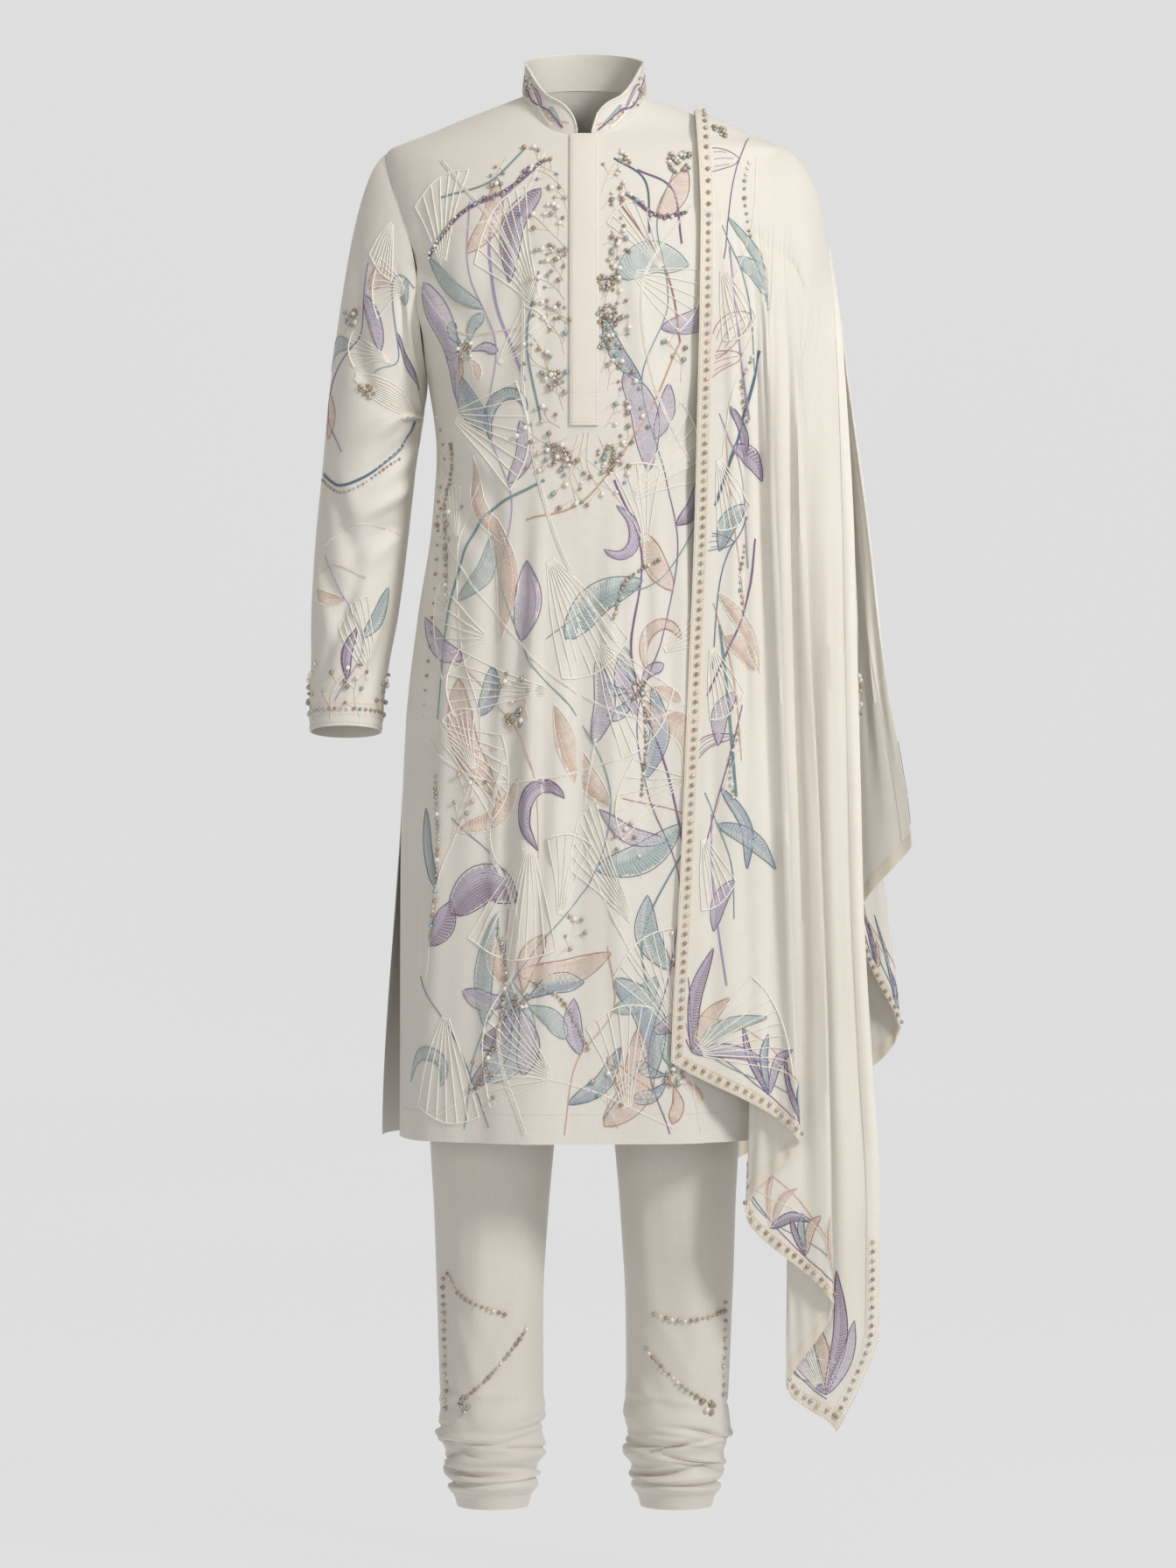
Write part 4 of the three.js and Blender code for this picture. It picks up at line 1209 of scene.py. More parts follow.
def laid_cord_tree():
    """A round cord along every line of the given mesh, as thick as its "thick"."""
    tree, entry, node, finish = new_tree("laid_cord", {"Sides": 5.0})
    line = node("GeometryNodeMeshToCurve", Mesh=entry["Geometry"])[0]
    thick = named(node, "thick", "FLOAT")
    sized = node("GeometryNodeSetCurveRadius", Curve=line, Radius=thick)[0]
    sides = node("FunctionNodeFloatToInt", Float=entry["Sides"])[0]
    ring = node("GeometryNodeCurvePrimitiveCircle", Resolution=sides, Radius=1.0)[0]
    sweep = tree.nodes.new("GeometryNodeCurveToMesh")
    tree.links.new(sized, sweep.inputs["Curve"])
    tree.links.new(ring, sweep.inputs["Profile Curve"])
    sweep.inputs["Fill Caps"].default_value = True
    if "Scale" in sweep.inputs:
        tree.links.new(thick, sweep.inputs["Scale"])
    finish(node("GeometryNodeSetShadeSmooth", Geometry=sweep.outputs[0])[0])
    return tree


def grown(name, seed_mesh, tree, sizes, finish, slot):
    """Runs a node group on a seed mesh and keeps the result as a plain mesh."""
    obj = bpy.data.objects.new(name, seed_mesh)
    bpy.context.scene.collection.objects.link(obj)
    modifier = obj.modifiers.new("sewn", "NODES")
    modifier.node_group = tree
    for item in tree.interface.items_tree:
        if item.in_out == "INPUT" and item.name in sizes:
            modifier[item.identifier] = sizes[item.name]
        elif item.in_out == "INPUT" and item.name == "Material":
            modifier[item.identifier] = finish
    depsgraph = bpy.context.evaluated_depsgraph_get()
    plain = bpy.data.meshes.new_from_object(
        obj.evaluated_get(depsgraph), preserve_all_data_layers=True, depsgraph=depsgraph
    )
    obj.modifiers.clear()
    obj.data = plain
    plain.name = name
    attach(obj, "root")
    return obj


def seed(points, edges, facts):
    mesh = bpy.data.meshes.new("seed")
    mesh.from_pydata((np.asarray(points) * MM).tolist(), edges, [])
    kinds = {1: ("FLOAT", "value"), 3: ("FLOAT_VECTOR", "vector"), 4: ("FLOAT_COLOR", "color")}
    for label, values in facts.items():
        values = np.asarray(values, np.float32)
        kind, field = kinds[1 if values.ndim == 1 else values.shape[1]]
        mesh.attributes.new(label, kind, "POINT").data.foreach_set(field, values.ravel())
    return mesh


bead_tree = sewn_on_tree("bead", 7, 5)
stitch_tree = sewn_on_tree("stitch", 5, 3)
cord_tree = laid_cord_tree()

TINTS = {
    "ivory": tone(250, 246, 236),
    "cream": tone(236, 226, 208),
    "purple": tone(142, 120, 156),
    "plum": tone(112, 92, 128),
    "lavender": tone(184, 170, 202),
    "lilac": tone(208, 198, 216),
    "teal": tone(142, 170, 174),
    "mist": tone(186, 202, 202),
    "slate": tone(112, 132, 152),
    "steelblue": tone(150, 168, 190),
    "peach": tone(222, 184, 162),
    "blush": tone(236, 212, 196),
    "clay": tone(190, 150, 134),
}
BEADS = {
    "bronze": (tone(176, 158, 138), 0.45),
    "steel": (tone(190, 186, 180), 0.5),
    "champagne": (tone(218, 204, 184), 0.35),
    "pearl": (tone(248, 243, 234), 0.0),
    "sea": (tone(160, 180, 182), 0.35),
}
BEAD_MIX = ["bronze", "bronze", "steel", "bronze", "champagne", "pearl", "steel", "sea"]


def any_bead(kinds=BEAD_MIX):
    return kinds[int(chance.integers(len(kinds)))]


class Needlework:
    """Embroidery on one piece of cloth, set out in millimetres: s across it and v along it."""

    def __init__(self, name, cloth, places, inside, slot, base=0.0):
        self.name, self.cloth, self.places, self.inside, self.slot, self.base = name, cloth, places, inside, slot, base
        self.cords, self.satin, self.beads, self.stitches = [], [], [], []

    def on(self, path, lift):
        a, b = self.places(path[..., 0], path[..., 1])
        return self.cloth.face(a, b, self.base + np.asarray(lift, float))

    def cord(self, points, tint, thick=0.75, strands=1, pitch=5.0, even=False):
        path = np.asarray(points, float) if even else rounded(points, pitch)
        ahead = unit(np.gradient(path, axis=0))
        aside = left_of(ahead)
        for k in range(strands):
            off = (k - (strands - 1) / 2) * thick * 2.1
            self.cords.append((path + aside * off, thick, TINTS[tint]))

    def leaf(self, spine, wide, tint, other=None, edge="ivory", pitch=2.4, slant=5.0, full=0.8, veins=2):
        """A shape of satin stitch along a curved spine in one or two tints, with cords round it and along it."""
        spine = rounded(spine, pitch)
        rows = len(spine)
        t = np.linspace(0, 1, rows)
        ahead = unit(np.gradient(spine, axis=0))
        aside = left_of(ahead)
        half = wide * np.sin(math.pi * t**full) ** 0.8
        c = np.array([-1, -0.7, -0.35, 0, 0.35, 0.7, 1])
        lean = ahead[:, None] * (slant * np.abs(c))[None, :, None] * np.sin(math.pi * t)[:, None, None]
        grid = spine[:, None] + aside[:, None] * (half[:, None] * c)[..., None] + lean
        ridge = 0.35 + 0.4 * (np.arange(rows) % 2)
        lift = ridge[:, None] * (1 - c**6)[None] - 0.35 * (np.abs(c) > 0.99)[None]
        self.satin.append((grid, lift, (TINTS[tint], TINTS[other or tint]), c))
        for line in (grid[:, 0], grid[:, -1]):
            self.cord(line[::2], edge, 0.5, even=True)
        for share in np.linspace(-0.62, 0.62, veins) if veins > 1 else [0.0] * veins:
            low, high = 0.5 - 0.42 * (1 - abs(share) * 0.5), 0.5 + 0.42 * (1 - abs(share) * 0.5)
            keep = (t > low) & (t < high)
            line = (spine + aside * (half * share)[:, None] + lean[:, 3] * 0)[keep][::2]
            if len(line) > 2:
                self.cord(line, edge, 0.32, even=True)

    def fan(self, base, first, last, count, tint="ivory", thick=0.7, inner=0.1):
        """Cords that spread from a point to an arc, with the arc itself laid round their ends."""
        base, first, last = (np.asarray(p, float) for p in (base, first, last))
        swell = 0.16 * np.linalg.norm(last - first)
        middle = (first + last) / 2
        out = unit(middle - base)
        tips = []
        for k in range(count):
            t = k / (count - 1)
            tip = lerp(first, last, t) + out * swell * math.sin(math.pi * t)
            tips.append(tip)
            start = lerp(base, tip, inner)
            bow = left_of(tip - start) * 0.05 * (t - 0.5)
            self.cord([start, (start + tip) / 2 + bow, tip], tint, thick, pitch=9)
        self.cord(tips, tint, thick * 1.3)

    def seeds(self, points, pitch, size, kinds=BEAD_MIX, jitter=0.0, even=False):
        path = rounded(points, pitch)
        if jitter:
            path = path + chance.normal(0, jitter, path.shape)
        for point in path:
            kind = any_bead(kinds)
            self.beads.append((point, size * (1 if even else chance.uniform(0.75, 1.2)), kind))

    def cluster(self, centre, reach, count, size):
        for _ in range(count):
            angle, out = chance.uniform(0, TAU), reach * math.sqrt(chance.uniform(0, 1))
            point = np.asarray(centre, float) + out * toward(angle)
            self.beads.append((point, size * chance.uniform(0.6, 1.25), any_bead()))

    def spray(self, base, angle, long, twigs, tint="cream"):
        """A twig with beads at the ends of its side stems."""
        base = np.asarray(base, float)
        way = toward(angle)
        side = left_of(way)
        bow = chance.uniform(-0.18, 0.18) * long
        path = rounded([base, base + way * long * 0.5 + side * bow, base + way * long], 3.0)
        self.cord(path, tint, 0.45, even=True)
        self.beads.append((path[-1], 2.8, "pearl"))
        for k in range(twigs):
            t = 0.25 + 0.7 * k / max(1, twigs - 1)
            start = path[int(t * (len(path) - 1))]
            lean = angle + (1 if k % 2 else -1) * chance.uniform(0.5, 1.0)
            reach = long * chance.uniform(0.2, 0.38)
            tip = start + reach * toward(lean)
            self.cord([start, tip], tint, 0.4, pitch=4)
            self.beads.append((tip, chance.uniform(1.6, 2.9), any_bead()))

    def line(self, points, pitch=3.2):
        self.stitches.append(rounded(points, pitch))

    def sew(self):
        kinds = (
            (self.cords, self.sew_cords), (self.satin, self.sew_satin),
            (self.beads, self.sew_beads), (self.stitches, self.sew_stitches),
        )
        return [sew() for things, sew in kinds if things]

    def sew_cords(self):
        paths = [path for path, _, _ in self.cords]
        flat = np.vstack(paths)
        counts = [len(path) for path in paths]
        thick = np.repeat([radius for _, radius, _ in self.cords], counts)
        tint = np.repeat([colour for _, _, colour in self.cords], counts, axis=0)
        keep = self.inside(flat[:, 0], flat[:, 1])
        places, _ = self.on(flat, thick * 0.55)
        edges, run, count = [], [], 0
        for path in paths:
            here = places[count : count + len(path)]
            run.append(np.concatenate([[0], np.cumsum(np.linalg.norm(np.diff(here, axis=0), axis=1))]) * MM)
            edges += [(i, i + 1) for i in range(count, count + len(path) - 1) if keep[i] and keep[i + 1]]
            count += len(path)
        used = sorted({k for edge in edges for k in edge})
        order = {k: i for i, k in enumerate(used)}
        edges = [(order[a], order[b]) for a, b in edges]
        facts = {"thick": thick[used] * MM, "run": np.concatenate(run)[used], "tint": tint[used]}
        mesh = seed(places[used], edges, facts)
        return grown(self.name + "_cords", mesh, cord_tree, {"Sides": 5.0}, cord_finish, self.slot)

    def sew_satin(self):
        kept = [part for part in self.satin if self.inside(part[0][..., 0], part[0][..., 1]).all()]
        flat = np.vstack([grid.reshape(-1, 2) for grid, _, _, _ in kept])
        lifts = np.concatenate([lift.ravel() for _, lift, _, _ in kept])
        all_places, all_ways = self.on(flat, lifts)
        quads, uv, tint, count = [], [], [], 0
        for grid, _, colours, c in kept:
            rows, columns = grid.shape[:2]
            span = slice(count, count + rows * columns)
            here, ways = (part[span].reshape(rows, columns, 3) for part in (all_places, all_ways))
            order = count + np.arange(rows * columns).reshape(rows, columns)
            patch = np.stack([order[:-1, :-1], order[1:, :-1], order[1:, 1:], order[:-1, 1:]], -1).reshape(-1, 4)
            normal = np.cross(np.gradient(here, axis=0), np.gradient(here, axis=1))
            quads.append(patch if (normal * ways).sum() > 0 else patch[:, ::-1])
            u, v = np.meshgrid(c * np.abs(grid - grid[:, 3:4]).max(), np.arange(rows) * 2.4)
            uv.append(np.stack([u, v] if len(uv) % 2 else [v, u], -1).reshape(-1, 2) + 37 * len(uv))
            first, second = (np.array(colour) for colour in colours)
            shade = chance.uniform(0.88, 1.1, (rows, 1, 1))
            half = np.where((c > 0.01)[None, :, None], second, first)
            tint.append((half * np.concatenate([shade] * 3 + [np.ones_like(shade)], -1)).reshape(-1, 4))
            count += rows * columns
        mesh = mesh_of(self.name + "_satin", all_places, np.vstack(quads), np.vstack(uv))
        values = np.clip(np.vstack(tint), 0, 1).astype(np.float32)
        mesh.attributes.new("tint", "FLOAT_COLOR", "POINT").data.foreach_set("color", values.ravel())
        return place(self.name + "_satin", mesh, floss_finish, self.slot)

    def sew_beads(self):
        path = np.array([point for point, _, _ in self.beads])
        size = np.array([size for _, size, _ in self.beads])
        keep = self.inside(path[:, 0], path[:, 1])
        place_, ways = self.on(path, size * 0.75)
        tint = np.array([BEADS[kind][0] for _, _, kind in self.beads])
        metal = np.array([BEADS[kind][1] for _, _, kind in self.beads])
        along = np.cross(ways, chance.normal(0, 1, ways.shape))
        facts = {"facing": ways, "along": along, "size": size * MM, "tint": tint, "metal": metal}
        mesh = seed(place_[keep], [], {label: values[keep] for label, values in facts.items()})
        sizes = {"Length": 1.0, "Width": 1.0, "Height": 0.82}
        return grown(self.name + "_beads", mesh, bead_tree, sizes, beads_finish, self.slot)

    def sew_stitches(self):
        flat = np.vstack(self.stitches)
        keep = self.inside(flat[:, 0], flat[:, 1])
        places, ways = self.on(flat, 0.12)
        along, count = [], 0
        for path in self.stitches:
            along.append(unit(np.gradient(places[count : count + len(path)], axis=0)))
            count += len(path)
        facts = {"facing": ways[keep], "along": np.vstack(along)[keep], "size": np.full(keep.sum(), 1.15 * MM)}
        sizes = {"Length": 1.0, "Width": 0.32, "Height": 0.28}
        return grown(self.name + "_stitches", seed(places[keep], [], facts), stitch_tree, sizes, sewn_finish, self.slot)


# ---------------------------------------------------------------- the pieces of cloth

front_turns, front_heights = panel_places(1, 48, (10, 60, 140))
back_turns, back_heights = panel_places(-1, 34, (8, 44, 96))


def layers(cloth, a, b, outer, inner):
    return cloth.face(a, b, outer)[0], cloth.face(a, b, inner)[0]


def kurta_panel(name, turns, heights, nodes):
    outer, inner = layers(kurta, turns, heights, 0, -CLOTH)
    return wall(name, outer, inner, kurta_finish, "kurta_cloth", nodes)


kurta_front = kurta_panel("kurta_front_panel", front_turns, front_heights, ["kurta_front"])
kurta_back = kurta_panel("kurta_back_panel", back_turns, back_heights, ["kurta_back"])


def make_placket():
    rows = np.linspace(0, 1, 96) ** 1.2
    z = lerp(float(neck_height(math.pi / 2)) - 1, PLACKET_BOTTOM, rows)[:, None]
    share = np.linspace(-1, 1, 15)[None, :]
    x = share * PLACKET_WIDTH / 2 + 0 * z
    z = z + 0 * x
    turns = math.pi / 2 - np.sign(x) * (math.pi / 2 - turn_at(np.abs(x), z))
    edge = np.maximum(np.abs(share) ** 10, 0.0 * z)
    soft = 0.35 * np.cos(share * math.pi / 2) ** 0.5 * (1 + 0.4 * np.sin(z / 23.0))
    outer = kurta.face(turns, z, PLACKET_LIFT + STIFF - 0.5 * edge + soft)[0]
    inner = kurta.face(turns, z, PLACKET_LIFT)[0]
    return wall("placket_strip", outer, inner, placket_finish, "kurta_trim", ["placket"])


placket = make_placket()


def make_collar():
    pace = np.linspace(0, 1, 129)
    pace = pace - np.sin(4 * math.pi * pace) / 60
    around = math.pi / 2 - COLLAR_END - pace * (TAU - 2 * COLLAR_END)
    a, b = tiled(around, np.append(-0.075, np.linspace(0, 1, 12)))
    ways = np.stack([np.cos(a), -np.sin(a), 0 * a], -1)
    outer = collar_form(a, b)
    rounding = 0.35 * np.clip((b - 0.9) / 0.1, 0, 1)[..., None]
    inner = outer - ways * (STIFF - rounding)
    return wall("collar_band", outer - ways * rounding, inner, kurta_finish, "kurta_cloth", ["collar"])


collar = make_collar()


def make_sleeve(name, cloth, node):
    q = np.concatenate([np.linspace(0, 1, 47), np.linspace(1, 2, 76)[1:]])
    a, b = tiled(np.linspace(0, TAU, 61)[:-1], q)
    outer, inner = layers(cloth, a, b, 0, -CLOTH)
    return wall(name, outer, inner, kurta_finish, "kurta_cloth", [node], loop=True)


sleeve_piece_right = make_sleeve("right_sleeve", sleeve_right, "sleeve_right")
sleeve_piece_left = make_sleeve("left_sleeve", sleeve_left, "sleeve_left")


def make_leg(name, cloth, node):
    z = np.concatenate([np.linspace(WAIST, -1325, 92), np.linspace(-1325, ANKLE_HEM, 84)[1:]])
    a, b = tiled(np.linspace(-1, 1, 57), z)
    outer, inner = layers(cloth, a, b, 0, -CLOTH)
    return wall(name, outer, inner, churidar_finish_painted_shade, "churidar_cloth", [node])


leg_piece_right = make_leg("right_leg", leg_right, "churidar_right")
leg_piece_left = make_leg("left_leg", leg_left, "churidar_left")


def make_waistband():
    """The casing, with the fine gathers that its drawstring draws up."""
    form = LEG(WAIST)
    turn, z = tiled(np.linspace(0, TAU, 241)[:-1], np.linspace(WAIST + SEAM, WAIST + WAISTBAND, 9))
    depth = np.where(np.sin(turn) > 0, form["back"], form["front"])
    middle = np.sin(math.pi * (z - WAIST) / WAISTBAND)
    gather = 0.6 * np.sin(turn * 60 + 1.2 * np.sin(turn * 7)) * middle + 0.9 * middle
    ring = lambda grow: np.stack([(form["outer"] + grow) * np.cos(turn), (depth + grow) * np.sin(turn), z], -1)
    outer, inner = ring(gather), ring(gather - STIFF)
    return wall("waist_casing", outer, inner, churidar_finish_painted_shade, "churidar_cloth", ["waistband"], loop=True)


waistband = make_waistband()

FALL_DOWN_FRONT = np.concatenate([np.linspace(-1, 0, 31), np.linspace(0, 1, 181)[1:]])
FALL_DOWN_BACK = np.concatenate([np.linspace(-1, 0, 31), np.linspace(0, 1, 121)[1:]])


def make_fall(name, cloth, down, columns, node):
    a, b = tiled(np.linspace(0, 1, columns), down)
    outer, inner = layers(cloth, a, b, VEIL, 0)
    return wall(name, outer, inner, veil_finish, "dupatta_cloth", [node])


dupatta_front = make_fall("dupatta_front_fall", fall_front, FALL_DOWN_FRONT, 121, "dupatta_front")
dupatta_back = make_fall("dupatta_back_fall", fall_back, FALL_DOWN_BACK, 85, "dupatta_back")
fall_front.set_out(-1, 1, 0, 1, 0, rows=120)
fall_back.set_out(-1, 1, 0, 1, 0, rows=120)


def make_border(name, cloth, hem, edge, node):
    """A folded strip round an edge of the dupatta, a little proud of both of its faces."""
    rows = 170
    share = np.linspace(0, 1, 8)
    if edge == "hem":
        a, up = tiled(np.linspace(0, 1, rows), share)
        b = 1 - up * BORDER / fall_drop(a, hem)
    else:
        low = 1 - BORDER / float(fall_drop(0.0 if edge == "inner" else 1.0, hem))
        b, width = tiled(np.linspace(-1, low, rows), share * BORDER)
        if edge == "outer":
            far = np.interp(b, cloth.b_rows, cloth.reach[:, 1])
            width = far - width
        a = cloth.across(width, b)
    pad = 0.25 * np.sin(math.pi * share)[:, None]
    outer, inner = layers(cloth, a, b, VEIL + BAND + pad, -0.55 - pad)
    finish = hem_finish if edge == "outer" else border_finish
    return wall(name, outer, inner, finish, "dupatta_border", [node])


border_pieces = {}
for side_name, cloth, hem in (("front", fall_front, FRONT_HEM), ("back", fall_back, BACK_HEM)):
    border_pieces[side_name] = [
        make_border(f"border_{side_name}_{edge}_strip", cloth, hem, edge, f"border_{side_name}_{edge}")
        for edge in ("inner", "outer", "hem")
    ]


# ---------------------------------------------------------------- needlework of the kurta

kurta.set_out(HEM, -40, math.pi - 0.02, 0.02, math.pi / 2, rows=140)
collar_cloth.set_out(0, 1, math.pi / 2 + COLLAR_END, math.pi * 2.5 - COLLAR_END, math.pi / 2 + COLLAR_END, rows=8)
for cloth in (sleeve_left, sleeve_right):
    cloth.set_out(0, 2, math.radians(-70), math.radians(250), math.radians(90), rows=80)
for cloth in (leg_left, leg_right):
    cloth.set_out(ANKLE_HEM, -1000, -0.999, 0.999, -0.5, rows=90)


def on_front(s, z):
    return kurta.across(s, z), z


def inside_front(s, z):
    turn = kurta.across(s, z)
    x = np.abs(torso_x(turn, z))
    edge = armhole(z) + 0.05 + 0.12 * ease((SLIT_TOP - z) / (SLIT_TOP - HEM))
    neck = -14 - 52 * np.sqrt(np.clip(1 - (x / 74) ** 2, 0, 1))
    return (turn > edge) & (turn < math.pi - edge) & (z > HEM + 5) & (z < neck) & (z < -46)


front = Needlework("kurta_front", kurta, on_front, inside_front, "kurta_cloth")

# Fill, second fill and edge of each leaf in turn
LEAF_TINTS = [
    ("lavender", "lilac", "purple"), ("mist", "mist", "teal"), ("blush", "blush", "clay"),
    ("purple", "lavender", "plum"), ("teal", "mist", "slate"), ("blush", "peach", "ivory"),
    ("lilac", "lilac", "purple"), ("steelblue", "mist", "slate"),
]


def leaf_of(work, spine, wide, kind, **more):
    fill, other, edge = LEAF_TINTS[kind % len(LEAF_TINTS)]
    work.leaf(spine, wide, fill, other, edge, **more)


def turned(way, angle):
    cosine, sine = math.cos(angle), math.sin(angle)
    return np.array([way[0] * cosine - way[1] * sine, way[0] * sine + way[1] * cosine])


def vine(work, points, tint, spacing, long, wide, strands=1, first=1, start=0, thick=0.6):
    """A stem with leaves on both sides in turn: satin ones, and open ones of fanned cords."""
    path = rounded(points, 3.0)
    work.cord(path, tint, thick, strands, even=True)
    ahead = unit(np.gradient(path, axis=0))
    for k in range(int(len(path) * 3.0 / spacing)):
        i = min(len(path) - 1, int((k + 0.6) * spacing / 3.0))
        side = first * (1 if k % 2 else -1)
        way = turned(ahead[i], side * chance.uniform(0.35, 0.75))
        reach = long * chance.uniform(0.7, 1.25)
        out = left_of(way) * side
        tip = path[i] + way * reach
        middle = path[i] + way * reach * 0.5 + out * reach * chance.uniform(0.06, 0.16)
        if k % 4 == 3:
            work.fan(path[i], tip + out * reach * 0.3, tip - out * reach * 0.3, 6)
        else:
            leaf_of(work, [path[i], middle, tip], wide * chance.uniform(0.75, 1.25), start + k, veins=3)


# Stems: their points, tint, leaf spacing, leaf length, leaf half width, the first leaf's side and tint
VINES = [
    ([(-128, -1052), (-112, -965), (-58, -880), (8, -800), (28, -715), (-6, -640), (-62, -578), (-92, -500)],
     "teal", 66, 96, 13, 1, 0),
    ([(86, -1056), (64, -980), (88, -890), (98, -800), (70, -720), (56, -640), (84, -560), (98, -470), (82, -390)],
     "purple", 66, 82, 11, -1, 2),
    ([(-176, -905), (-162, -800), (-128, -716), (-116, -640), (-138, -560), (-140, -470), (-112, -400)],
     "ivory", 60, 72, 11, 1, 3),
    ([(-92, -500), (-74, -420), (-100, -345), (-92, -262), (-120, -190), (-118, -116)], "lavender", 62, 84, 11, -1, 5),
    ([(82, -390), (58, -300), (86, -222), (74, -140), (92, -84)], "teal", 58, 66, 10, 1, 6),
    ([(-20, -1056), (-8, -985), (30, -930), (24, -868)], "peach", 52, 68, 10, 1, 7),
]
for points, tint, spacing, long, wide, first, start in VINES:
    vine(front, points, tint, spacing, long, wide, first=first, start=start)

# Long free lines that cross the stems: tint, cords side by side, thickness, points
SWEEPS = [
    ("ivory", 3, 0.6, [(-150, -70), (-70, -180), (-60, -330), (-20, -480), (60, -600)]),
    ("ivory", 2, 0.6, [(-186, -420), (-110, -520), (-30, -600), (60, -640), (120, -620)]),
    ("ivory", 4, 0.55, [(-60, -1056), (-90, -960), (-70, -850), (-110, -760), (-90, -680)]),
    ("ivory", 2, 0.55, [(120, -1056), (96, -950), (40, -860), (0, -760), (12, -660)]),
    ("ivory", 3, 0.55, [(110, -120), (60, -200), (70, -300), (110, -380)]),
    ("ivory", 2, 0.6, [(-190, -660), (-120, -700), (-40, -700), (40, -680)]),
    ("ivory", 2, 0.5, [(-160, -1040), (-80, -1000), (0, -1010), (90, -1050)]),
    ("lavender", 3, 0.5, [(-56, -80), (-96, -140), (-92, -220), (-60, -300)]),
    ("purple", 2, 0.55, [(30, -400), (60, -480), (50, -580), (90, -700), (110, -820)]),
    ("purple", 1, 0.5, [(-150, -740), (-90, -800), (-84, -900), (-40, -990)]),
    ("teal", 3, 0.5, [(-40, -400), (-110, -440), (-150, -520), (-170, -640)]),
    ("teal", 1, 0.6, [(120, -440), (80, -500), (20, -520), (-40, -560)]),
    ("teal", 2, 0.5, [(20, -1040), (70, -960), (60, -860), (110, -760)]),
    ("peach", 2, 0.5, [(100, -260), (60, -340), (0, -420), (-60, -440)]),
    ("peach", 1, 0.5, [(-170, -560), (-120, -600), (-60, -680), (-50, -780)]),
    ("slate", 1, 0.5, [(-100, -1050), (-140, -960), (-190, -900)]),
    ("clay", 1, 0.5, [(40, -720), (110, -740), (126, -800)]),
    ("cream", 2, 0.5, [(-184, -200), (-130, -250), (-60, -250), (-30, -300)]),
]
for tint, strands, thick, points in SWEEPS:
    front.cord(points, tint, thick, strands)

# Fans of ivory cord: base, one end of the arc, the other end, how many cords
FANS = [
    ((-30, -1000), (-98, -1030), (-78, -900), 15),
    ((44, -1040), (2, -950), (70, -930), 10),
    ((-60, -760), (-128, -860), (-30, -872), 15),
    ((10, -560), (40, -680), (96, -610), 12),
    ((-40, -470), (-24, -600), (46, -560), 13),
    ((-150, -330), (-70, -300), (-76, -410), 11),
    ((-44, -230), (-114, -180), (-60, -100), 12),
    ((44, -420), (100, -320), (122, -400), 9),
    ((-176, -640), (-92, -656), (-106, -742), 11),
    ((54, -850), (-14, -792), (12, -722), 11),
    ((110, -700), (40, -762), (52, -680), 9),
    ((44, -190), (98, -250), (120, -186), 9),
    ((-150, -186), (-182, -118), (-120, -82), 10),
    ((96, -960), (30, -900), (92, -850), 11),
    ((-150, -930), (-184, -1030), (-112, -1040), 10),
    ((-104, -560), (-170, -500), (-160, -600), 9),
    ((66, -470), (20, -400), (78, -386), 8),
]
for base, one, other, count in FANS:
    front.fan(base, one, other, int(count * 0.75))

# Open flowers: centre, petal length, petals, first angle
FLOWERS = [((-66, -922), 66, 7, 20), ((56, -612), 44, 6, 50), ((-126, -268), 38, 6, 0), ((90, -1000), 42, 6, 30)]


def flower(work, centre, long, petals, first):
    centre = np.asarray(centre, float)
    for k in range(petals):
        angle = math.radians(first + 360 * k / petals + chance.uniform(-9, 9))
        way = toward(angle)
        side = left_of(way)
        reach = long * chance.uniform(0.85, 1.15)
        spine = [centre + way * 8, centre + way * reach * 0.55 + side * reach * 0.1, centre + way * reach]
        leaf_of(work, spine, reach * 0.15, k * 3 + petals, full=1.1, veins=3)
    work.cluster(centre, 10, 20, 2.2)


for centre, long, petals, first in FLOWERS:
    flower(front, centre, long, petals, first)


def crescent(work, base, size, turn, kind):
    """A slim curled leaf in satin stitch."""
    spine = [np.asarray(base, float) + size * t * toward(turn + 1.9 * t * t) for t in np.linspace(0, 1, 9)]
    leaf_of(work, spine, size * 0.13, kind, full=0.8, veins=2)


# Crescents: base, length, first direction, tint
for base, size, turn, kind in (
    ((-22, -720), 60, 2.3, 3), ((-154, -1010), 54, 1.2, 1), ((104, -560), 48, 2.0, 2),
    ((-58, -330), 50, 1.9, 4), ((20, -470), 46, -0.6, 0),
):
    crescent(front, base, size, turn, kind)

# Broad blades: half width, tints, spine
BLADES = [
    (17, 1, [(34, -196), (66, -176), (108, -182)]),
    (20, 3, [(-148, -836), (-112, -806), (-70, -822)]),
    (22, 1, [(-104, -1004), (-72, -962), (-76, -902)]),
    (14, 6, [(40, -292), (60, -330), (66, -392)]),
    (13, 5, [(-98, -434), (-84, -494), (-92, -560)]),
    (15, 2, [(-140, -600), (-132, -668), (-96, -724)]),
    (16, 4, [(-20, -560), (14, -520), (62, -500)]),
    (15, 7, [(30, -900), (64, -936), (70, -1000)]),
    (14, 0, [(-178, -196), (-150, -250), (-142, -318)]),
    (16, 2, [(20, -1048), (52, -1010), (54, -950)]),
    (12, 3, [(-44, -104), (-72, -140), (-78, -200)]),
    (15, 5, [(76, -632), (112, -660), (118, -716)]),
]
for wide, kind, spine in BLADES:
    leaf_of(front, spine, wide, kind, full=0.7, slant=9.0, veins=5)

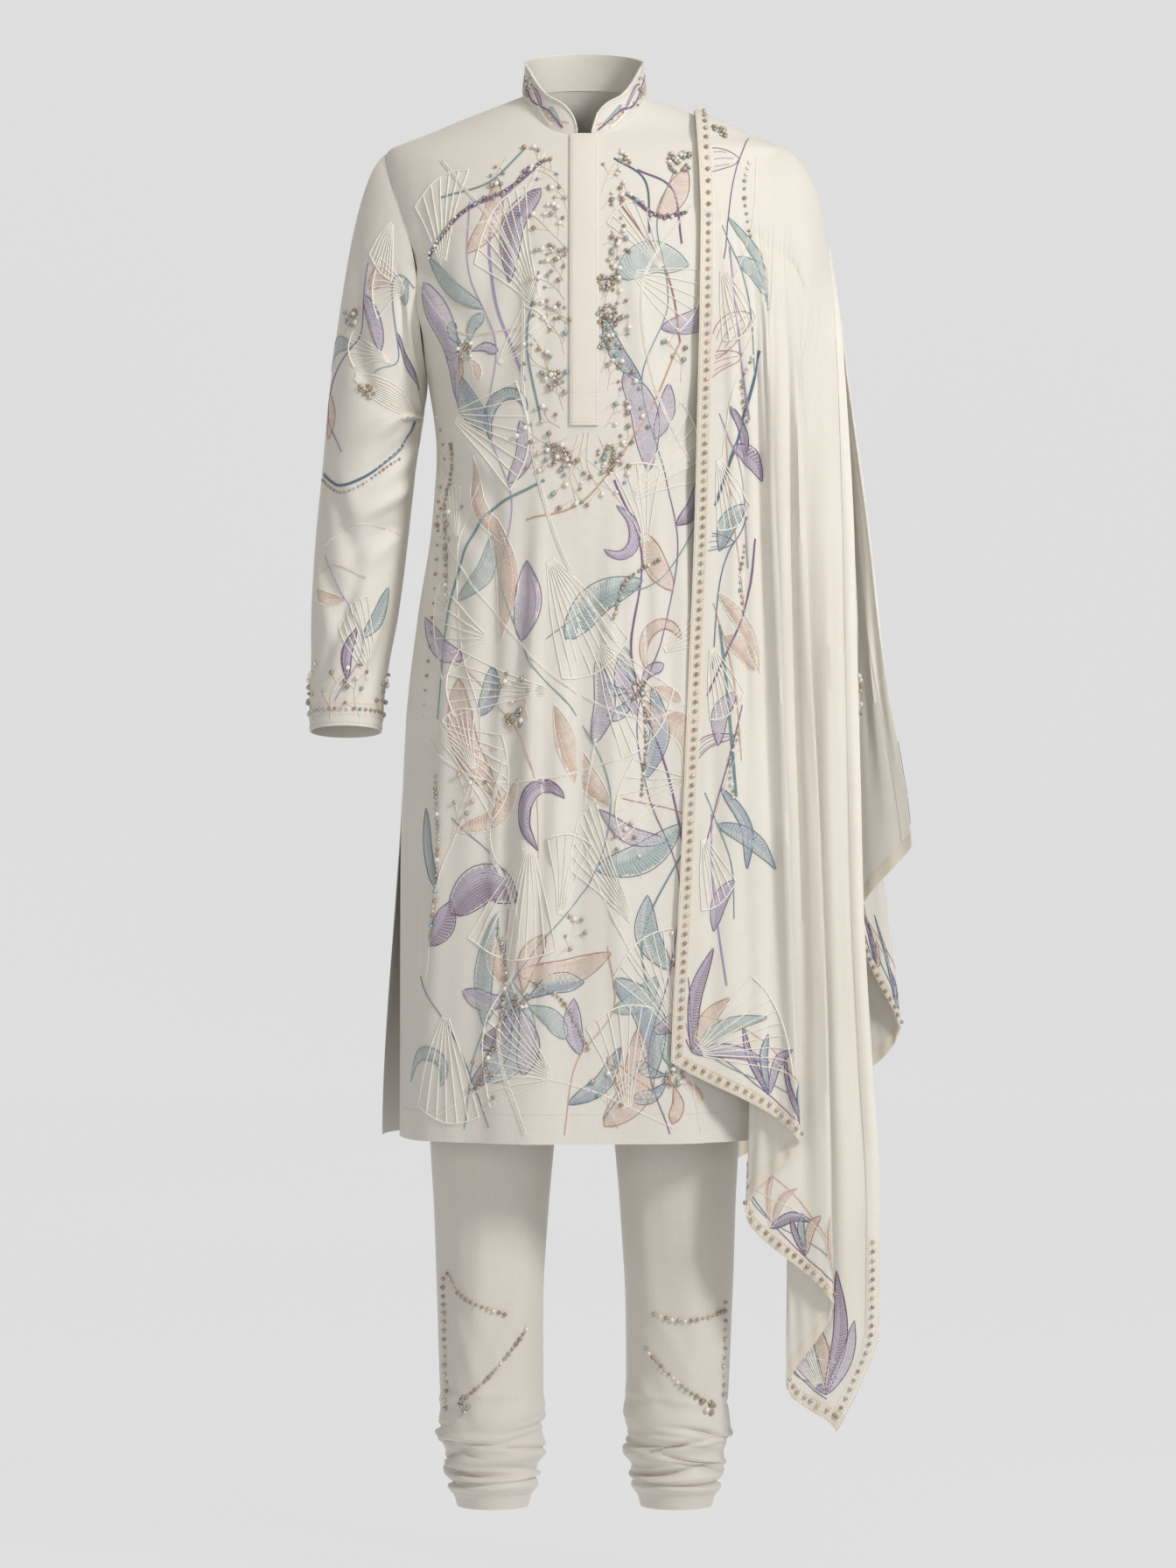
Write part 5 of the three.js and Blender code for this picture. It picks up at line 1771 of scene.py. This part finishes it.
# Beaded sprays that climb both sides of the placket, and a few among the leaves
for side in (-1, 1):
    for k, z in enumerate(np.linspace(-384, -90, 17)):
        angle = math.pi / 2 - side * chance.uniform(0.25, 1.1)
        front.spray((side * chance.uniform(17, 26), z), angle, chance.uniform(24, 50), 4)
    front.cluster((side * 25, -378), 14, 34, 2.1)
front.cluster((24, -236), 12, 36, 2.2)
front.cluster((98, -74), 13, 34, 2.5)
for points in ([(-168, -170), (-128, -128), (-78, -104), (-44, -76)], [(44, -110), (74, -132), (104, -128)]):
    front.cord(points, "purple", 0.7, 3)
    front.seeds(points, 4.4, 1.9, jitter=1.2)
for tint, points in (
    ("teal", [(-60, -60), (-98, -96), (-150, -110)]), ("slate", [(30, -72), (62, -96), (66, -150)]),
    ("ivory", [(-40, -64), (-70, -120), (-140, -150)]), ("purple", [(54, -84), (90, -104), (100, -160)]),
    ("teal", [(-46, -190), (-58, -260), (-44, -340)]), ("clay", [(36, -120), (84, -190), (100, -260)]),
):
    front.cord(points, tint, 0.55, 2)
front.cluster((22, -200), 9, 26, 2.1)
front.cluster((21, -262), 9, 22, 2.0)
front.cluster((-26, -170), 9, 16, 2.0)
front.cluster((-30, -300), 10, 22, 2.1)
for x, z, angle, long in (
    (0, -352, -1.9, 56), (-14, -356, -2.3, 46), (14, -356, -0.9, 48), (4, -352, -1.35, 64), (-6, -354, -1.6, 70),
    (-150, -760, 1.2, 60), (60, -800, 1.9, 52), (-104, -1046, 1.5, 66), (34, -1050, 1.75, 56), (110, -900, 1.7, 48),
    (-60, -640, 2.2, 46), (-168, -480, 1.3, 52), (100, -300, 1.9, 44), (-30, -880, 1.1, 44), (-80, -70, -1.9, 30),
):
    front.spray((x, z), angle, long, 5)
front.cluster((-76, -640), 11, 20, 2.3)
front.cluster((96, -880), 10, 16, 2.1)
for points in (
    [(-112, -1010), (-92, -960), (-84, -900), (-96, -850)],
    [(-50, -905), (-20, -925), (4, -970)],
    [(60, -716), (66, -660), (60, -600)],
    [(-170, -700), (-164, -780), (-170, -860)],
    [(-156, -360), (-162, -420), (-158, -520)],
    [(30, -540), (44, -500), (78, -480)],
):
    front.seeds(points, 5.2, 2.1, jitter=0.5)
front.seeds([(-187, -330), (-176, -400), (-182, -520), (-196, -640)], 15, 1.7)
# The hem's own stitching
for z in (HEM + 30, HEM + 4):
    front.line([(s, z) for s in np.linspace(-235, 235, 40)])
front_pieces = front.sew()


back = Needlework("kurta_back", kurta, lambda turn, z: (turn, z), lambda turn, z: turn < 0, "kurta_cloth")
for z in (HEM + 30, HEM + 4):
    back.line([(turn, z) for turn in np.linspace(-math.pi + 0.1, -0.1, 60)], 0.016)
back_pieces = back.sew()


def placket_work():
    def places(s, z):
        return math.pi / 2 - np.sign(s) * (math.pi / 2 - turn_at(np.abs(s), z)), z

    work = Needlework("placket", kurta, places, lambda s, z: s < 100, "kurta_trim", PLACKET_LIFT + STIFF + 0.1)
    half = PLACKET_WIDTH / 2 - 2.6
    for side in (-1, 1):
        work.line([(side * half, -58), (side * half, -200), (side * half, PLACKET_BOTTOM + 3)])
    for z in (PLACKET_BOTTOM + 3, PLACKET_BOTTOM + 33):
        work.line([(-half, z), (half, z)])
    return work.sew()


placket_pieces = placket_work()


# ---------------------------------------------------------------- needlework of the collar


def on_collar(s, v):
    return collar_cloth.across(s, v / COLLAR_HEIGHT), v / COLLAR_HEIGHT


def collar_work():
    girth = float(collar_cloth.reach[:, 1].mean())
    work = Needlework("collar", collar_cloth, on_collar, lambda s, v: (v > 0.5) & (v < 34.5), "kurta_cloth")
    top = [(s, 34.6) for s in np.linspace(1, girth - 1, 90)]
    edge = [(0.2, 1.0), (0.2, 34), *top, (girth - 0.2, 34), (girth - 0.2, 1.0)]
    under = [(s, 29.5) for s in np.linspace(12, girth - 12, 80)]
    inset = [(4, 3), (5.5, 24), *under, (girth - 5.5, 24), (girth - 4, 3)]
    work.line(inset)
    for near in (0, 1):
        turn = (lambda s: girth - s) if near else (lambda s: s)
        work.cord([(turn(16), 5), (turn(40), 18), (turn(70), 9), (turn(104), 22)], "purple", 0.6, 2)
        work.cord([(turn(30), 4), (turn(52), 12), (turn(84), 24), (turn(118), 12)], "ivory", 0.5, 3)
        work.cord([(turn(12), 15), (turn(34), 9), (turn(60), 22), (turn(92), 15)], "peach", 0.5, 1)
        leaf_of(work, [(turn(48), 16), (turn(60), 22), (turn(74), 24)], 3.4, 0, veins=1)
        leaf_of(work, [(turn(84), 10), (turn(96), 8), (turn(110), 13)], 3.4, 2, veins=1)
        leaf_of(work, [(turn(22), 12), (turn(31), 17), (turn(40), 24)], 3.0, 1, veins=1)
        work.seeds([(turn(78), 27), (turn(80), 18), (turn(76), 6)], 4.2, 1.6, jitter=1.4)
        work.seeds([(turn(84), 27), (turn(88), 18), (turn(84), 6)], 5.2, 1.4, jitter=1.4)
        work.seeds([(turn(18), 8), (turn(40), 14), (turn(66), 12)], 7, 1.0)
    piping = Needlework("collar_piping", collar_cloth, on_collar, lambda s, v: v > 0, "kurta_trim")
    piping.cord(edge, "ivory", 0.95, pitch=2.2)
    return work.sew() + piping.sew()


collar_pieces = collar_work()


# ---------------------------------------------------------------- needlework of the sleeves


def sleeve_work(name, cloth):
    def places(s, v):
        q = v / SLEEVE_LENGTH
        return cloth.across(s, q), q

    work = Needlework(name, cloth, places, lambda s, v: (v > 6) & (v < 599) & (np.abs(s) < 140), "kurta_cloth")
    vine(work, [(20, 20), (-18, 90), (24, 160), (-6, 226)], "teal", 54, 60, 10, start=1)
    vine(work, [(-62, 120), (-40, 200), (-66, 280), (-30, 330)], "purple", 62, 62, 11, start=0)
    vine(work, [(-10, 575), (14, 520), (-12, 470), (-40, 430)], "lavender", 44, 50, 7, start=3)
    work.fan((10, 60), (-50, 96), (-20, 160), 9)
    work.fan((-34, 244), (34, 214), (40, 284), 10)
    work.fan((-60, 30), (-20, 96), (-66, 110), 8)
    work.fan((30, 560), (-16, 500), (14, 470), 7)
    work.cord([(-62, 350), (-20, 362), (36, 330), (60, 300)], "slate", 0.7, 2)
    work.seeds([(-62, 356), (-20, 369), (36, 337)], 5, 1.4)
    work.cord([(-40, 420), (0, 400), (52, 410)], "ivory", 0.5, 2)
    work.cord([(-66, 470), (-30, 440), (10, 452)], "cream", 0.5, 2)
    for x, v, angle, long in (
        (-40, 592, -1.8, 46), (-14, 594, -1.3, 54), (16, 592, -1.7, 40),
        (38, 592, -1.2, 44), (60, 590, -1.6, 34), (-64, 590, -1.4, 40),
    ):
        work.spray((x, v), angle, long, 4)
    work.cluster((-62, 190), 11, 20, 2.2)
    work.cluster((-8, 256), 10, 14, 2.2)
    reach = np.linspace(-138, 138, 80)
    work.seeds(np.stack([reach, 583 + 0 * reach], -1), 6.4, 1.9, even=True)
    for v in (577.5, 589.0, 596.5):
        work.line(np.stack([reach, v + 0 * reach], -1))
    return work.sew()


right_sleeve_pieces = sleeve_work("right_sleeve", sleeve_right)
left_sleeve_pieces = sleeve_work("left_sleeve", sleeve_left)


# ---------------------------------------------------------------- needlework of the churidar


def leg_work(name, cloth, strands, seam):
    def places(s, z):
        return cloth.across(s, z), z

    work = Needlework(name, cloth, places, lambda s, z: z > ANKLE_HEM + 1, "churidar_cloth")
    for points in strands:
        work.cord(points, "cream", 0.35)
        work.seeds(points, 6.2, 2.2, ["bronze", "steel", "champagne", "pearl", "bronze"])
    work.seeds(seam, 9.0, 2.4, ["bronze", "champagne", "steel"])
    work.cluster((strands[0][0][0] * 0.8, strands[0][0][1]), 9, 9, 2.6)
    round_ = np.linspace(-0.99, 0.99, 120)
    hem = Needlework(name + "_hem", cloth, lambda s, z: (s, z), lambda s, z: s < 9, "churidar_cloth")
    hem.line(np.stack([round_, ANKLE_HEM + 15 + 0 * round_], -1), 0.026)
    return work.sew() + hem.sew()


right_leg_pieces = leg_work(
    "right_leg", leg_right,
    [[(36, -1338), (4, -1312), (-40, -1262)], [(52, -1206), (30, -1228), (-16, -1246)]],
    [(58, -1212), (57, -1280), (56, -1345)],
)
left_leg_pieces = leg_work(
    "left_leg", leg_left,
    [[(40, -1340), (8, -1322), (-36, -1282)], [(-26, -1246), (4, -1252), (56, -1244)]],
    [(57, -1236), (57, -1290), (56, -1330)],
)


# ---------------------------------------------------------------- needlework of the dupatta


BORDER_BEADS = ["bronze", "steel", "bronze", "champagne", "steel"]
BORDER_LINES = (1.8, 5.0, 13.0)  # stitch lines, from the border's outer edge
BORDER_ROW = 9.0  # and its row of beads
BEAD_PITCH = 9.3
ON_BORDER = VEIL + BAND + 0.15


def way_down(v, drop):
    """From millimetres below the crest to the cloth's own measure."""
    return np.where(v < CREST_DROP, v / CREST_DROP - 1, (v - CREST_DROP) / drop)


def fall_work(side_name, cloth, hem):
    def places(s, v):
        share = np.clip(s / DUPATTA_WIDTH, 0, 1)
        down = np.clip(way_down(v, fall_drop(share, hem)), -1, 1)
        return cloth.across(s, down), down

    def upward(s, h):
        """Set out from the hem: h millimetres up from it."""
        share = np.clip(s / DUPATTA_WIDTH, 0, 1)
        down = 1 - h / fall_drop(share, hem)
        return cloth.across(s, down), down

    within = lambda s, v: (s > BORDER) & (s < 640)
    long = CREST_DROP + float(fall_drop(0.0, hem))
    run = Needlework(f"dupatta_{side_name}", cloth, places, within, "dupatta_cloth", VEIL)
    tints = ["purple", "teal", "ivory", "lavender", "slate", "peach"]
    for k, v in enumerate(np.arange(24, long - 190, 96)):
        near, far = (24, 62) if k % 2 else (60, 26)
        bend = chance.uniform(-14, 14)
        path = [(near, v), (42 + bend, v + 62), (far, v + chance.uniform(120, 168))]
        leaf_long, leaf_wide = chance.uniform(54, 82), chance.uniform(6, 11)
        vine(run, path, tints[k % 6], 58, leaf_long, leaf_wide, first=1 if k % 2 else -1, start=k)
        run.cord([(near + 8, v + 20), (50 - bend, v + 90), (far - 4, v + 190)], tints[(k + 2) % 6], 0.5, 1 + k % 3)
        if k % 2:
            run.fan((22, v + 40), (62, v + 84), (26, v + 118), 7)
        else:
            run.seeds([(58, v + 30), (50, v + 60), (56, v + 96)], 6.5, 1.9, jitter=0.5)
    run.cluster((26, 34), 8, 14, 2.0)
    pieces = run.sew()

    corner = Needlework(f"dupatta_{side_name}_hem", cloth, upward, within, "dupatta_cloth", VEIL)
    girth = float(cloth.reach[-1, 1])
    for base, way, size in ((24, 1, 1.0), (girth - 26, -1, 1.1)):
        for angle, reach, pair in ((0.35, 92, 0), (0.75, 112, 1), (1.1, 84, 2), (1.42, 118, 3), (1.7, 76, 6)):
            tip = (base + way * math.cos(angle) * reach * size, 20 + math.sin(angle) * reach * size)
            bent = angle + 0.14
            middle = (base + way * math.cos(bent) * reach * size * 0.5, 20 + math.sin(bent) * reach * size * 0.5)
            leaf_of(corner, [(base, 22), middle, tip], 6.5 * size, pair, veins=1)
        corner.fan((base, 20), (base + way * 120, 60), (base + way * 62, 128), 9)
    for base in np.linspace(110, girth - 130, 8):
        lean = chance.uniform(-0.5, 0.5)
        for k, angle in enumerate((1.1 + lean, 1.6 + lean, 2.1 + lean)):
            reach = chance.uniform(34, 74)
            tip = (base + math.cos(angle) * reach, 20 + math.sin(angle) * reach)
            middle = (base + math.cos(angle + 0.16) * reach * 0.55, 20 + math.sin(angle + 0.16) * reach * 0.55)
            leaf_of(corner, [(base, 18), middle, tip], 4.6, int(chance.integers(8)), veins=1)
    for height, tint in ((26, "purple"), (34, "teal"), (48, "ivory"), (62, "peach")):
        points = [(s, height + 9 * math.sin(s / 34.0 + height)) for s in np.linspace(24, girth - 24, 44)]
        corner.cord(points, tint, 0.5)
    pieces += corner.sew()

    edge = Needlework(f"border_{side_name}", cloth, places, lambda s, v: s > -9, "dupatta_border", ON_BORDER)
    for s in BORDER_LINES:
        edge.line([(s, v) for v in np.linspace(0, long - s, 60)])
    edge.seeds([(BORDER_ROW, v) for v in np.linspace(2, long - 9, 60)], BEAD_PITCH, 2.3, BORDER_BEADS, even=True)

    def outer_places(s, v):
        down = np.clip(way_down(v, float(fall_drop(1.0, hem))), -1, 1)
        far = np.interp(down, cloth.b_rows, cloth.reach[:, 1])
        return cloth.across(far - s, down), down

    outer = Needlework(f"border_{side_name}_far", cloth, outer_places, lambda s, v: s > -9, "dupatta_border", ON_BORDER)
    far_long = CREST_DROP + float(fall_drop(1.0, hem))
    plain_down = far_long - (190 if side_name == "front" else 50)
    for s in BORDER_LINES:
        outer.line([(s, v) for v in np.linspace(plain_down, far_long - s, 60)])
    far_row = [(BORDER_ROW, v) for v in np.linspace(plain_down + 2, far_long - 9, 60)]
    outer.seeds(far_row, BEAD_PITCH, 2.15, BORDER_BEADS, even=True)

    above = lambda s, h: (s > 1) & (s < girth - 1)
    bottom = Needlework(f"border_{side_name}_low", cloth, upward, above, "dupatta_border", ON_BORDER)
    for h in BORDER_LINES:
        bottom.line([(s, h) for s in np.linspace(h, girth - h, 90)])
    low_row = [(s, BORDER_ROW) for s in np.linspace(18, girth - 12, 90)]
    bottom.seeds(low_row, BEAD_PITCH, 2.3, BORDER_BEADS, even=True)
    return pieces, edge.sew() + outer.sew() + bottom.sew()


front_fall_pieces, front_border_pieces = fall_work("front", fall_front, FRONT_HEM)
back_fall_pieces, back_border_pieces = fall_work("back", fall_back, BACK_HEM)


# ---------------------------------------------------------------- what each sheet was cut to

# Piece, its cut's width and length in metres, the cut's area, how it is held, what it rests on, what is sewn on it
SHEETS = [
    (kurta_front, (0.55, 1.07), 0.51, "hung", ["collar_band"], front_pieces),
    (kurta_back, (0.56, 1.08), 0.52, "hung", ["collar_band"], back_pieces),
    (placket, (0.031, 0.30), None, "laid", ["kurta_front_panel"], placket_pieces),
    (collar, (0.39, 0.035), None, "stretched", ["kurta_front_panel", "kurta_back_panel"], collar_pieces),
    (sleeve_piece_right, (0.35, 0.57), 0.155, "hung", ["kurta_front_panel"], right_sleeve_pieces),
    (sleeve_piece_left, (0.35, 0.57), 0.155, "hung", ["kurta_front_panel"], left_sleeve_pieces),
    (leg_piece_right, (0.56, 1.12), 0.43, "gathered", ["waist_casing"], right_leg_pieces),
    (leg_piece_left, (0.56, 1.12), 0.43, "gathered", ["waist_casing"], left_leg_pieces),
    (waistband, (0.80, 0.035), None, "gathered", ["right_leg", "left_leg"], []),
    (dupatta_front, (0.53, 1.19), 0.36, "draped", ["kurta_front_panel", "left_sleeve"], front_fall_pieces),
    (dupatta_back, (0.44, 1.11), 0.27, "draped", ["kurta_back_panel", "left_sleeve"], back_fall_pieces),
    (border_pieces["front"][0], (0.0165, 0.97), None, "draped", ["dupatta_front_fall"], front_border_pieces),
    (border_pieces["front"][1], (0.0165, 0.97), None, "draped", ["dupatta_front_fall"], []),
    (border_pieces["front"][2], (0.0165, 0.53), None, "draped", ["dupatta_front_fall"], []),
    (border_pieces["back"][0], (0.0165, 1.11), None, "draped", ["dupatta_back_fall"], back_border_pieces),
    (border_pieces["back"][1], (0.0165, 0.50), None, "draped", ["dupatta_back_fall"], []),
    (border_pieces["back"][2], (0.0165, 0.44), None, "draped", ["dupatta_back_fall"], []),
]
for piece, flat, area, held, rests_on, with_pieces in SHEETS:
    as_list(rests_on)
    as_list(with_pieces)


# ---------------------------------------------------------------- floor, light and camera


def make_sweep():
    """A pale floor that curves up into a backdrop far behind."""
    profile = [(-12000, 0), (9000, 0)]
    profile += [(9000 + 2600 * math.sin(t), 2600 - 2600 * math.cos(t)) for t in np.linspace(0, math.pi / 2, 25)]
    profile += [(11600, 14000)]
    points = np.array([[(x, y, z + FLOOR) for y, z in profile] for x in (-14000.0, 14000.0)]).reshape(-1, 3)
    count = len(profile)
    quads = np.array([[i, count + i, count + i + 1, i + 1] for i in range(count - 1)])
    mesh = mesh_of("floor", points, quads)
    dye = Dye("pale_floor", {"Specular IOR Level": 0.0, "Emission Strength": 1.0, "Roughness": 0.9})
    cloudy = dye.noise(dye.object_place(), 0.4, 1.0)
    glow = dye.blend(cloudy, tone(218, 218, 219), tone(220, 220, 220))
    dye.feed(dye.shader, {"Base Color": tone(60, 60, 60), "Emission Color": glow})
    mesh.materials.append(dye.material)
    obj = bpy.data.objects.new("floor", mesh)
    bpy.context.scene.collection.objects.link(obj)


FLOOR = -1530.0
make_sweep()


def soft_light(name, place_, target, size, watts, colour):
    data = bpy.data.lights.new(name, "AREA")
    data.shape, data.size, data.energy, data.color = "DISK", size, watts, colour
    light = bpy.data.objects.new(name, data)
    bpy.context.scene.collection.objects.link(light)
    light.location = place_
    light.rotation_euler = (Vector(target) - Vector(place_)).to_track_quat("-Z", "Y").to_euler()


soft_light("key", (3.1, -3.0, 1.9), (0.05, 0, -0.75), 1.1, 138, (1.0, 0.997, 0.99))
soft_light("overhead", (0.4, -1.5, 3.0), (0, 0, -0.4), 1.4, 28, (1.0, 0.98, 0.95))
soft_light("fill", (-1.1, -5.6, 0.3), (0, 0, -0.8), 1.8, 42, (1.0, 0.96, 0.91))

world = bpy.data.worlds.new("studio")
world.use_nodes = True
world.node_tree.nodes["Background"].inputs["Color"].default_value = (1.0, 0.95, 0.88, 1.0)
world.node_tree.nodes["Background"].inputs["Strength"].default_value = 0.23
bpy.context.scene.world = world
bpy.context.scene.view_settings.view_transform = "Standard"

camera_data = bpy.data.cameras.new("camera")
camera_data.sensor_width = 36.0
camera_data.lens = 116.07
camera_data.clip_end = 60.0
camera = bpy.data.objects.new("camera", camera_data)
bpy.context.scene.collection.objects.link(camera)
camera.location = (0.0036, -5.2, -0.7056)
camera.rotation_euler = (math.pi / 2, 0.0, 0.0)
bpy.context.scene.camera = camera
